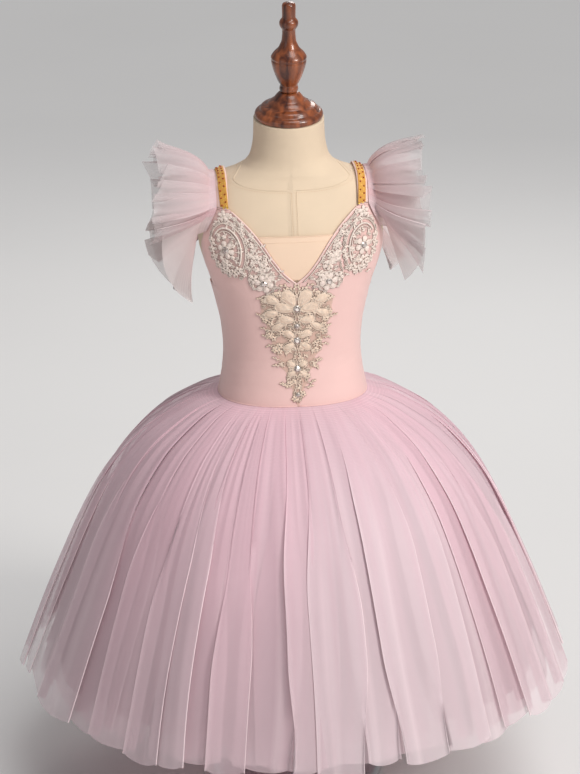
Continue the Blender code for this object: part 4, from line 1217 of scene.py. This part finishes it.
def sleeve_path(front_foot, back_foot, inward=0.0, ease=0.0042):
    """The line on the right shoulder that a ruffle is sewn to, or one further in than that."""
    x = 0.1056 - inward
    heights = front_foot + (FRONT_TIP - front_foot) * np.arange(5) / 5
    front = body_point(turn_of_x(FRONT_ARMHOLE(heights) + 0.004 - inward, heights, ease), heights, ease)
    angles = np.linspace(angle_at_height(x, FRONT_TIP, False), angle_at_height(x, BACK_TIP, True), 12)
    over = np.array([over_shoulder(x, a, ease) for a in angles])
    heights = BACK_TIP + (back_foot - BACK_TIP) * np.arange(1, 6) / 5
    behind = math.pi - turn_of_x(BACK_ARMHOLE(heights) + 0.004 - inward, heights, ease)
    return np.concatenate([front, over, body_point(behind, heights, ease)])


def spread_along(path, along):
    """Points at these shares of a path's length."""
    run = np.concatenate([[0], np.cumsum(np.linalg.norm(np.diff(path, axis=0), axis=1))])
    return np.stack([np.interp(along * run[-1], run, path[:, k]) for k in range(3)], -1)


def ruffle_piece(row, seed, pleats, finish):
    word, side, front_foot, back_foot, fan_from, fan_to, lift_top, lift_end, droop, arch, top, end, step = row
    sheet, source = folded_sheet(pleats, seed, 8, 0.55, 0.45)
    owner, u, deep = sheet["owner"], sheet["u"], sheet["depth"]
    jag, slant, tilt, tone = (
        np.array([source.uniform(-1, 1) for _ in range(pleats)]) for _ in range(4))
    along = np.clip(sheet["place"] + sheet["carried"] * 0.22 / pleats, 0, 1)
    base = spread_along(sleeve_path(front_foot, back_foot), along) + [step, 0, 0]
    heading = spread_along(sleeve_path(front_foot, back_foot, 0.0058, 0.0056), along)
    fan = np.radians(fan_from + (fan_to - fan_from) * along)
    toward_end = np.abs(2 * along - 1)
    lift = np.radians(lift_top + (lift_end - lift_top) * toward_end**droop)
    curve = np.radians(arch) * (1 - toward_end**2)
    width = top + (end - top) * toward_end**droop
    width = width * (0.97 + 0.055 * jag[owner] + 0.22 * slant[owner] * (u - 0.5))
    radial = np.stack([np.zeros_like(fan), -np.cos(fan), np.sin(fan)], -1)
    outward = np.array([1.0, 0, 0])
    across = np.cross(radial, outward)
    across /= np.linalg.norm(across, axis=-1, keepdims=True)
    share = (np.linspace(0, 1, 22) ** 0.9)[:, None, None]
    bend = lift[None, :, None] + curve[None, :, None] * (1 - share) ** 1.5
    bend = bend + np.radians(7) * tilt[owner][None, :, None] * share**2
    way = outward * np.cos(bend) + radial[None] * np.sin(bend)
    normal = np.cross(way, np.broadcast_to(across[None], way.shape))
    normal /= np.linalg.norm(normal, axis=-1, keepdims=True)
    points = base[None] + way * width[None, :, None] * share
    points = points + normal * (0.0056 * share**0.8 + 0.0006) * deep[None, :, None]
    points[0] = heading + [0, 0, 0.0004] * np.abs(deep[:, None])
    uv = np.stack(np.broadcast_arrays(along[None] * 0.5, share[..., 0] * width[None]), -1)
    # Painted shade: random columns are darkened near the sewn base and fade out towards the edge; the crease values
    # give a painted highlight along pressed fold edges.
    gather_shade_streak = np.array([source.random() for _ in range(len(along))])[None]
    extra = {
        "down": np.broadcast_to(share[..., 0], points.shape[:2]),
        "crease_highlight": sheet["crease_highlight"][None] * (0.4 + 0.6 * share[..., 0]),
        "tone": np.broadcast_to((0.5 + 0.5 * tone[owner])[None], points.shape[:2]),
        "gather_shade_streak": gather_shade_streak * (1 - share[..., 0]),
    }
    piece = grid_piece("ruffle_" + word, to_side(points, side), uv, finish, flip=side > 0, extra=extra)
    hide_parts("sleeve_" + word)
    return piece


sleeves = [
    ruffle_piece(row, 50 + i, 15 if i < 2 else 12, sleeve_upper if i < 2 else sleeve_lower_shaded)
    for i, row in enumerate(RUFFLES)
]
print("tulle in each ruffle:", [round(cloth_area(s), 4) for s in sleeves], "m2")

# %% [markdown]
# ## Drawing corded lace
# The applique is corded lace: a sheer net ground, petals filled with close stitches so that they stand up
# a little, and a fine cord couched round every shape. Each shape is drawn flat, as a maker draws on
# paper, and then laid on the bodice. A small class holds the drawing of one motif and turns it into
# three kinds of thing: cords, raised petals, and a dark flat band under each cord that is partly the
# couching thread and partly painted shadow. The net ground is laid by a function of its own.

# %% The lace maker
LACE_EASE = OUTSIDE + 0.0007


class Lace:
    """One motif, drawn flat in metres and laid on the bodice by a function from flat to surface."""

    def __init__(self, lay):
        self.lay = lay
        self.cords = []
        self.couching_and_shadow = []
        self.petals = ([], [])

    def cord(self, path, radius=0.00052, lift=0.0007):
        """A round cord, with the flat band of darker stitches that holds it down. The band's dark colour is partly the
        couching thread and partly painted shadow under the raised cord.
        """
        points, normals = self.lay(np.asarray(path, float), lift)
        self.cords.append((points, normals, radius))
        # Painted shadow: the flat dark band under the cord is partly couching thread and partly the shadow that the
        # raised cord would cast.
        self.couching_and_shadow.append((points - normals * (lift - 0.0002), normals, radius * 1.0 + 0.00042))

    def petal(self, spot, angle, long, wide, high=0.0012, outline=0.00046):
        sides = 20 if long > 0.007 else 12
        turn = np.linspace(0, 2 * math.pi, sides + 1)[:-1]
        along = long * (1 - np.cos(turn)) / 2
        across = wide / 2 * np.sin(turn) * (0.55 + 0.45 * (1 - np.cos(turn)) / 2)
        way = np.array([math.cos(angle), math.sin(angle)])
        side = np.array([-way[1], way[0]])
        ring = np.asarray(spot) + along[:, None] * way + across[:, None] * side
        middle = ring.mean(axis=0)
        verts, faces = self.petals
        start = len(verts)
        for size, rise in ((1.0, 0.0), (0.86, 0.62), (0.55, 0.92), (0.22, 1.0)):
            points, _ = self.lay(middle + (ring - middle) * size, 0.0003 + high * rise)
            verts.extend(points.tolist())
        for r in range(3):
            for k in range(sides):
                a, b = start + r * sides + k, start + r * sides + (k + 1) % sides
                faces.append((a, b, b + sides, a + sides))
        faces.append(tuple(range(start + 3 * sides, start + 4 * sides)))
        if outline:
            self.cord(np.concatenate([ring, ring[:1]]), outline, 0.0007)

    def flower(self, spot, count, long, wide, start=0.0, eye=0.0055):
        for k in range(count):
            angle = start + 2 * math.pi * k / count
            base = np.asarray(spot) + np.array([math.cos(angle), math.sin(angle)]) * eye * 0.75
            self.petal(base, angle, long, wide)
        self.cord(oval(spot, eye, eye), 0.0005, 0.0016)

    def shell(self, spot, angle, long, wide, ribs=5):
        """A large fan-shaped petal with ribs of cord and a frilled edge."""
        self.petal(spot, angle, long, wide, 0.0016, 0.0006)
        for k in range(ribs):
            spread = (k / (ribs - 1) - 0.5) * 1.1 * wide / long
            share = np.linspace(0.12, 0.88 - abs(spread) * 0.5, 9)[:, None]
            way = angle + spread * share * 1.2
            path = np.asarray(spot) + np.concatenate([np.cos(way), np.sin(way)], 1) * share * long
            points, normals = self.lay(path, 0.0019)
            self.cords.append((points, normals, 0.00032))
        way = np.array([math.cos(angle), math.sin(angle)])
        side = np.array([-way[1], way[0]])
        rim = np.asarray(spot) + way * (long * (1 - np.cos(np.linspace(0.9, 5.4, 40)))[:, None] / 2)
        rim = rim + side * (wide / 2 * np.sin(np.linspace(0.9, 5.4, 40)))[:, None]
        self.scallops(rim[::-1], 11, -0.0020, 0.00036, False)

    def scatter(self, inside, box, apart, tries, source, size=0.0030):
        """Small flowers, rings and leaf pairs, wherever there is room for one more."""
        spots = []
        for _ in range(tries):
            spot = np.array([source.uniform(box[0], box[1]), source.uniform(box[2], box[3])])
            kind, turn = source.random(), source.uniform(0, 2 * math.pi)
            if not inside(*spot) or any(np.linalg.norm(spot - other) < apart for other in spots):
                continue
            spots.append(spot)
            if kind < 0.45:
                self.flower(spot, 5, size, size * 0.92, turn, size * 0.5)
            elif kind < 0.70:
                self.cord(oval(spot, size, size * 0.8, steps=13), 0.00044)
                self.cord(oval(spot, size * 0.45, size * 0.4, steps=9), 0.00040)
            else:
                self.sprig(spot, turn, size * 2.2, 3, size * 1.25, source.uniform(-1.0, 1.0))

    def sprig(self, spot, angle, long, leaves=3, size=0.0045, bend=0.5):
        """A curved stem with a leaf at its end and smaller ones along it."""
        share = np.linspace(0, 1, 12)
        way = angle + bend * share
        path = np.asarray(spot) + np.cumsum(np.stack([np.cos(way), np.sin(way)], -1) * long / 12, axis=0)
        self.cord(path, 0.00042)
        for k in range(leaves):
            i = 11 - k * 3
            side = (0.75 if k % 2 else -0.75) if k else 0.0
            self.petal(path[max(i, 1)], way[max(i, 1)] + side, size * (1 - 0.12 * k), size * 0.46, 0.0008, 0.00034)

    def scallops(self, path, count, high, radius=0.00042, double=True):
        """Small round loops along the left of a path."""
        path = np.asarray(path, float)
        run = np.concatenate([[0], np.cumsum(np.linalg.norm(np.diff(path, axis=0), axis=1))])
        for k in range(count):
            ends = np.array([k, k + 1]) / count * run[-1]
            a, b = (np.array([np.interp(e, run, path[:, j]) for j in (0, 1)]) for e in ends)
            along = b - a
            out = np.array([-along[1], along[0]]) / max(np.linalg.norm(along), 1e-9)
            t = np.linspace(0, math.pi, 8)
            for size in (1.0, 0.55) if double else (1.0,):
                middle = (a + b) / 2
                loop = middle - along[None] / 2 * np.cos(t)[:, None] * size + out[None] * high * np.sin(t)[:, None] * size
                self.cord(loop, radius)


def oval(spot, wide, high, start=0.0, end=360.0, steps=49):
    a = np.radians(np.linspace(start, end, steps))
    return np.stack([spot[0] + wide * np.cos(a), spot[1] + high * np.sin(a)], -1)


def lay_front(side):
    """Lays (x, height) on the bodice front."""

    def lay(flat, lift):
        turn = side * turn_of_x(flat[:, 0], flat[:, 1], LACE_EASE)
        return figure_line(turn, flat[:, 1], LACE_EASE + lift)

    return lay


def lay_bust(side, x, height):
    """Lays (across, up) on the bodice round one spot, without squeezing it at the figure's side."""
    turn = float(turn_of_x(x, height, LACE_EASE))
    chord = body_point(turn + 0.01, height, LACE_EASE) - body_point(turn - 0.01, height, LACE_EASE)
    stride = float(np.linalg.norm(chord)) / 0.02

    def lay(flat, lift):
        return figure_line(side * (turn + flat[:, 0] / stride), height + flat[:, 1], LACE_EASE + lift)

    return lay


def net_piece(name, node, lay, rows, net, flip=False):
    """The net ground between two edges. Each row is (start, end) in flat coordinates."""
    rows = np.asarray(rows, float)
    share = np.linspace(0, 1, 15)[None, :, None]
    flat = rows[:, :1] * (1 - share) + rows[:, 1:] * share
    points, _ = lay(flat.reshape(-1, 2), 0.0)
    points = points.reshape(len(rows), 15, 3)
    piece = grid_piece(name, points, flat, net, flip=flip)
    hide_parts(node)
    return piece


def net_finish(name, colour, body):
    finish = Finish(name, colour, 0.6)
    place = finish.node("ShaderNodeUVMap", uv_map="cloth").outputs["UV"]
    net = finish.group(net_group, Holes=900.0, Thread=0.17)
    finish.link(place, net.inputs["Vector"])
    tone = finish.group(mottle_group, Scale=60.0, Amount=0.2, Color=(*colour, 1))
    finish.link(finish.node("ShaderNodeTexCoord").outputs["Object"], tone.inputs["Vector"])
    finish.link(tone.outputs["Color"], finish.shader.inputs["Base Color"])
    finish.link(finish.math("ADD", finish.math("MULTIPLY", net.outputs["Thread"], 0.50), body), finish.shader.inputs["Alpha"])
    finish.bump(net.outputs["Thread"], 0.4, 0.0003)
    return finish.material


def finish_lace(word, lace, looks):
    cord_look, stitch_look, couching_and_shadow_look = looks
    cords = cords_piece("cords_" + word, lace.cords, cord_look, 4)
    mesh = bpy.data.meshes.new("petals_" + word)
    mesh.from_pydata(*[lace.petals[0], [], lace.petals[1]])
    mesh.uv_layers.new(name="cloth")
    mesh.shade_smooth()
    petals = add_piece("petals_" + word, mesh, stitch_look)
    # Painted shadow: these dark bands under the cords are partly couching thread and partly the cords' shadow on the
    # net.
    couching_and_shadow = cords_piece("couching_and_shadow_" + word, lace.couching_and_shadow, couching_and_shadow_look, 4, 0.3)


champagne_net = net_finish("champagne_net", (0.80, 0.61, 0.47), 0.16)
blush_net = net_finish("blush_net", (0.90, 0.68, 0.62), 0.10)
print("lace tools ready")

# %% [markdown]
# ## The rosettes
# A rosette sits on each side of the chest: a scalloped oval edge, two cords inside it with a zigzag of
# thread between, and a raised flower round a stone. Small sprigs fill the space, as lace makers never
# leave a large bare net.

# %% Rosettes on the chest
ROSETTE_X, ROSETTE_UP = 0.093, 0.221


def draw_rosette(lace, seed):
    source = random.Random(seed)
    centre = (0.0, 0.0)
    lace.scallops(oval(centre, 0.0258, 0.0350, 238, 12, 97), 14, 0.0040)
    lace.cord(oval(centre, 0.0258, 0.0350, 8, 236), 0.0006)
    lace.cord(oval(centre, 0.0208, 0.0290, 38, 226), 0.0011, 0.0010)
    lace.cord(oval(centre, 0.0176, 0.0250, 55, 205), 0.0005)
    for k in range(8):
        angle = math.radians(238 + k * 20)
        spot = (0.0232 * math.cos(angle), 0.0318 * math.sin(angle))
        lace.flower(spot, 5, 0.0040, 0.0038, k * 1.1, 0.0019)
        lace.cord(oval((spot[0] * 1.17, spot[1] * 1.13), 0.0030, 0.0026, steps=13), 0.00045)
    lace.flower(centre, 6, 0.0080, 0.0082, 0.3, 0.0052)
    lace.flower((0.0035, -0.0195), 5, 0.0052, 0.0050, 0.9, 0.0024)
    for k in range(9):
        angle = math.radians(k * 40 + 20) + source.uniform(-0.15, 0.15)
        spot = (0.0125 * math.cos(angle), 0.0135 * math.sin(angle))
        lace.sprig(spot, angle + 0.4, 0.0075, 3, 0.0040, -0.9)
    ring = lambda x, y: 1.1 < (x / 0.0105) ** 2 + (y / 0.0130) ** 2 and (x / 0.0170) ** 2 + (y / 0.0240) ** 2 < 1
    lace.scatter(ring, (-0.017, 0.017, -0.024, 0.024), 0.0052, 70, source, 0.0022)


rosette_ring = np.linspace(math.radians(-88), math.radians(88), 25)
for side, word in ((-1, "left"), (1, "right")):
    lay = lay_bust(side, ROSETTE_X, ROSETTE_UP)
    rows = [((-0.0250 * math.cos(a), 0.0342 * math.sin(a)), (0.0250 * math.cos(a), 0.0342 * math.sin(a))) for a in rosette_ring]
    lace = Lace(lay)
    draw_rosette(lace, 71 if side < 0 else 72)
    ground = net_piece("net_rosette_" + word, "rosette_" + word, lay, rows, blush_net, side < 0)
    finish_lace("rosette_" + word, lace, BLUSH)
print("cords in a rosette:", len(lace.cords))

# %% [markdown]
# ## The vines
# A vine of loops and leaves follows each side of the neckline to a second flower near the point. It is
# drawn along the neckline's own curve, so that it always keeps the same distance from the edge.

# %% Vines along the neckline
VINE_WIDTH = smooth_column(
    [(0.182, 0.016), (0.188, 0.032), (0.196, 0.044), (0.205, 0.043), (0.214, 0.034), (0.222, 0.024),
     (0.230, 0.015), (0.238, 0.009)], 1)
SLANT = np.array([0.80, -0.60])
FLOWER_X, FLOWER_UP = 0.0435, 0.1765


def draw_vine(lace, seed):
    source = random.Random(seed)
    heights = np.linspace(0.1800, 0.2380, 30)
    edge = np.stack([NECKLINE(heights), heights], -1) + SLANT * 0.0040
    width = VINE_WIDTH(heights)[:, None]
    top = np.linspace(0.2330, 0.2690, 20)
    upper = np.stack([NECKLINE(top), top], -1) + SLANT * 0.0042
    lace.cord(edge, 0.0006)
    lace.cord(upper, 0.0005)
    lace.scallops(upper, 9, -0.0036, 0.0004)
    lace.scallops((edge + SLANT * width)[::-1], 11, -0.0038)
    lace.flower((FLOWER_X, FLOWER_UP), 6, 0.0084, 0.0084, 0.2, 0.0052)
    lace.scallops(oval((FLOWER_X, FLOWER_UP), 0.0135, 0.0128, 262, -40, 40), 11, 0.0032)
    for k in range(9):
        level = 0.188 + 0.0052 * k
        inner = np.array([float(NECKLINE(level)), level]) + SLANT * 0.006
        room = float(VINE_WIDTH(level))
        lace.sprig(inner, -0.55 + source.uniform(-0.3, 0.3), room * 0.55, 4, 0.0048, 0.9)
    for level, share, size in ((0.197, 0.42, 0.0052), (0.209, 0.30, 0.0048), (0.205, 0.78, 0.0046), (0.221, 0.55, 0.0040)):
        spot = np.array([float(NECKLINE(level)), level]) + SLANT * (0.004 + float(VINE_WIDTH(level)) * share)
        lace.flower(spot, 5, size, size * 0.95, level * 900, size * 0.45)
        lace.cord(oval(spot, size * 1.55, size * 1.45, 20, 250, 21), 0.0005)

    def inside(x, height):
        along = (x - float(NECKLINE(height))) * 0.80
        return 0.004 < along < float(VINE_WIDTH(height)) * 0.62 + 0.002

    def between(x, height):
        along = (x - float(NECKLINE(height))) * 0.80
        from_rosette = ((x - ROSETTE_X) / 0.0262) ** 2 + ((height - ROSETTE_UP) / 0.0385) ** 2
        return 0.0045 < along and 1.0 < from_rosette < 1.75 and x < 0.096

    lace.scatter(inside, (0.012, 0.085, 0.183, 0.240), 0.0060, 260, source, 0.0027)
    lace.scatter(between, (0.045, 0.096, 0.182, 0.268), 0.0054, 420, source, 0.0026)
    for x, level, angle in ((0.0905, 0.2665, -1.9), (0.0985, 0.2655, -1.3), (0.0860, 0.2600, -2.3)):
        lace.sprig((x, level), angle, 0.0120, 4, 0.0048, 0.6)
    lace.flower((0.0945, 0.2655), 5, 0.0052, 0.0050, 0.3, 0.0024)


for side, word in ((-1, "left"), (1, "right")):
    lay = lay_front(side)
    heights = np.linspace(0.1825, 0.2380, 26)
    inner = np.stack([NECKLINE(heights), heights], -1) + SLANT * 0.0042
    outer = inner + SLANT * (VINE_WIDTH(heights)[:, None] - 0.0012)
    lace = Lace(lay)
    draw_vine(lace, 81 if side < 0 else 82)
    rows = np.stack([inner, outer], axis=1)
    ground = net_piece("net_vine_" + word, "vine_" + word, lay, rows, blush_net, side < 0)
    finish_lace("vine_" + word, lace, BLUSH)
print("cords in a vine:", len(lace.cords))

# %% [markdown]
# ## The cascade
# Below the neckline's point hangs a cascade that narrows to a tip at the waist, made of fan-shaped petals
# with ribs, curled scrolls and a stem of small rings. It is drawn for one side and mirrored, but the
# sprigs are scattered a little differently on the two sides, as hand-placed ones are.

# %% Cascade below the point
CASCADE = [
    # height, half width
    (0.0015, 0.0010), (0.006, 0.0020), (0.016, 0.0075), (0.025, 0.0080), (0.036, 0.0150), (0.047, 0.0150),
    (0.058, 0.0240), (0.069, 0.0245), (0.080, 0.0345), (0.091, 0.0340), (0.103, 0.0430), (0.115, 0.0410),
    (0.127, 0.0490), (0.140, 0.0480), (0.1526, 0.0500), (0.162, 0.0330), (0.168, 0.0080),
]
CASCADE_WIDTH = smooth_column(CASCADE, 1)


def draw_cascade(lace, seed):
    source = random.Random(seed)
    for x, level, angle, long, wide in (
        (0.0035, 0.1445, 1.02, 0.0255, 0.0200), (0.0050, 0.1390, 0.22, 0.0250, 0.0165),
        (0.0240, 0.1500, 0.35, 0.0190, 0.0150), (0.0255, 0.1360, -0.30, 0.0185, 0.0130),
        (0.0040, 0.1235, 0.10, 0.0200, 0.0140), (0.0180, 0.1190, -0.55, 0.0170, 0.0110),
        (0.0035, 0.0990, 0.55, 0.0165, 0.0115), (0.0040, 0.0900, -0.55, 0.0160, 0.0105),
        (0.0030, 0.0570, 0.60, 0.0110, 0.0085), (0.0030, 0.0500, -0.60, 0.0100, 0.0070),
    ):
        lace.shell((x, level), angle, long, wide, 5 if long > 0.015 else 3)
    for level, size in ((0.1526, 1.0), (0.127, 0.95), (0.103, 0.9), (0.080, 0.8), (0.058, 0.65), (0.036, 0.5)):
        wide = float(CASCADE_WIDTH(level))
        curl = np.linspace(0.2, 4.6, 26)
        reach = 0.0062 * size * (1 - curl / 6.0)
        middle = np.array([wide - 0.0075 * size, level + 0.002])
        spiral = middle + np.stack([np.cos(curl), np.sin(curl)], -1) * reach[:, None]
        lace.cord(spiral, 0.0005)
        lace.scallops(oval(middle, 0.0070 * size, 0.0062 * size, 80, -110, 20), 6, -0.0022 * size, 0.00040, False)
    stem = np.linspace(0.006, 0.172, 60)
    for shift in (0.0016, 0.0034):
        lace.cord(np.stack([shift + 0.0016 * np.sin(stem * 260 + shift * 900), stem], -1), 0.00042)
    for k in range(18):
        level = 0.012 + 0.0078 * k
        lace.cord(oval((0.0028 + 0.0012 * (k % 2), level), 0.0024, 0.0022, steps=11), 0.00044)
    for level in (0.155, 0.128, 0.110, 0.098, 0.088, 0.066, 0.060, 0.034, 0.028):
        wide = float(CASCADE_WIDTH(level))
        spot = np.array([wide * 0.84, level])
        lace.sprig(spot, source.uniform(-0.35, 0.25), source.uniform(0.007, 0.012), 3, 0.0036, source.uniform(-0.4, 0.6))
    lace.sprig((0.0045, 0.1660), 0.75, 0.0160, 4, 0.0050, -0.5)
    lace.sprig((0.0090, 0.1600), 0.55, 0.0180, 4, 0.0050, -0.6)
    lace.sprig((0.0020, 0.1640), 1.35, 0.0080, 3, 0.0038, 0.3)
    lace.scatter(
        lambda x, height: 0.0045 < x < float(CASCADE_WIDTH(height)) * 0.92,
        (0.004, 0.050, 0.006, 0.164), 0.0064, 420, source, 0.0030)


cascade_levels = np.array([row[0] for row in CASCADE])
cascade_levels = np.unique(np.concatenate([cascade_levels, np.linspace(0.0015, 0.168, 60)]))
cascade_edge = CASCADE_WIDTH(cascade_levels)
middle_lay = lay_front(1)
cascade_net = net_piece(
    "net_cascade", "cascade", middle_lay,
    np.stack([np.stack([-cascade_edge, cascade_levels], -1), np.stack([cascade_edge, cascade_levels], -1)], 1),
    champagne_net)
right_half, left_half = Lace(lay_front(1)), Lace(lay_front(-1))
draw_cascade(right_half, 91)
draw_cascade(left_half, 92)
offset = len(right_half.petals[0])
right_half.petals[0].extend(left_half.petals[0])
right_half.petals[1].extend([tuple(i + offset for i in face) for face in left_half.petals[1]])
right_half.cords.extend(left_half.cords)
right_half.couching_and_shadow.extend(left_half.couching_and_shadow)
finish_lace("cascade", right_half, CHAMPAGNE)
print("cords in the cascade:", len(right_half.cords))

# %% [markdown]
# ## Rhinestones
# Each stone is cut glass in a metal cup: a flat table on top, a ring of slanting facets down to the
# girdle and short claws that grip it. The facets must stay flat and sharp, so this mesh isn't smoothed.

# %% Set stones
STONES = [
    # x, height, radius
    (-0.0930, 0.2210, 0.0045), (0.0930, 0.2210, 0.0045), (-0.0435, 0.1765, 0.0045), (0.0435, 0.1765, 0.0045),
    (0.0, 0.1404, 0.0045), (0.0, 0.1150, 0.0030), (0.0, 0.0941, 0.0042), (0.0, 0.0536, 0.0042),
    (0.0, 0.0176, 0.0028),
]


def stone_frame(x, height):
    place, out = figure_line(math.copysign(float(turn_of_x(x, height, LACE_EASE)), x), height, LACE_EASE + 0.0011)
    out = Vector(out)
    across = out.cross(Vector((0, 0, 1))).normalized()
    return Vector(place), across, out, across.cross(out)


def cut_stone(build, x, height, radius, turn):
    place, across, out, up = stone_frame(x, height)
    rings = []
    for count, size, rise, start in (
        (16, 1.0, 0.0, 0.0), (16, 1.0, 0.16, 0.0), (8, 0.78, 0.40, 0.5), (8, 0.52, 0.58, 0.0),
    ):
        ring = []
        for k in range(count):
            a = turn + 2 * math.pi * (k + start) / count
            spot = place + (across * math.cos(a) + up * math.sin(a)) * radius * size + out * radius * rise
            ring.append(build.verts.new(spot))
        rings.append(ring)
    girdle_low, girdle, crown, table = rings
    build.faces.new(girdle_low)
    build.faces.new(table[::-1])
    for k in range(16):
        build.faces.new((girdle_low[k], girdle[k], girdle[(k + 1) % 16], girdle_low[(k + 1) % 16]))
    for k in range(8):
        here, after, before = crown[k], crown[(k + 1) % 8], crown[k - 1]
        build.faces.new((girdle[2 * k], here, girdle[2 * k + 1]))
        build.faces.new((girdle[2 * k + 1], here, girdle[(2 * k + 2) % 16]))
        build.faces.new((girdle[2 * k], before, here))
        build.faces.new((table[k], here, before))
        build.faces.new((table[k], table[(k + 1) % 8], here))


build = bmesh.new()
cup_lines = []
for i, (x, height, radius) in enumerate(STONES):
    cut_stone(build, x, height, radius, i * 0.37)
    place, across, out, up = stone_frame(x, height)
    a = np.linspace(0, 2 * math.pi, 25)
    ring = np.array([place + (across * math.cos(t) + up * math.sin(t)) * radius * 1.08 for t in a])
    cup_lines.append((ring, np.repeat(np.array(out)[None], 25, 0), 0.00055))
    for k in range(6):
        t = k * math.pi / 3 + 0.2
        way = across * math.cos(t) + up * math.sin(t)
        claw = [place + way * radius * r + out * radius * h for r, h in ((1.12, 0), (1.06, 0.24), (0.86, 0.36))]
        cup_lines.append((np.array([list(p) for p in claw]), np.repeat(np.array(way)[None], 3, 0), 0.00032))
bmesh.ops.recalc_face_normals(build, faces=build.faces)
mesh = bpy.data.meshes.new("rhinestones")
build.to_mesh(mesh)
build.free()
# Painted reflection: each facet gets a random brightness, from smoke to white, standing for what it would mirror.
painted_glint_layer = mesh.attributes.new("painted_glint", "FLOAT", "FACE")
painted_glint_source = random.Random(7)
painted_glint_layer.data.foreach_set("value", [painted_glint_source.choice((0.05, 0.3, 0.7, 1.0)) for _ in mesh.polygons])
rhinestones = add_piece("rhinestones", mesh, crystal)
stone_cups = cords_piece("stone_cups", cup_lines, claw_metal, 6)
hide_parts(*[f"stone_{i + 1}" for i in range(len(STONES))])
print("facets:", len(mesh.polygons))

# %% [markdown]
# ## The floor
# The dress stands on a plain pale floor that runs on far past the edges of every view, so that no line
# crosses the picture. It is staging and not part of the object. A very faint mottle keeps it from
# looking like a flat fill.

# %% Floor
FLOOR_REACH = 40.0
floor_mesh = bpy.data.meshes.new("floor")
floor_mesh.from_pydata([(x * FLOOR_REACH, y * FLOOR_REACH, 0) for x, y in ((-1, -1), (1, -1), (1, 1), (-1, 1))], [], [(0, 1, 2, 3)])
floor = bpy.data.objects.new("floor", floor_mesh)
bpy.context.scene.collection.objects.link(floor)
paper = Finish("floor_paper", (0.80, 0.79, 0.78), 0.7)
paper_tone = paper.group(mottle_group, Scale=1.5, Amount=0.02, Color=(0.80, 0.79, 0.78, 1))
paper.link(paper.node("ShaderNodeTexCoord").outputs["Object"], paper_tone.inputs["Vector"])
paper.link(paper_tone.outputs["Color"], paper.shader.inputs["Base Color"])
floor_mesh.materials.append(paper.material)
print("floor added")
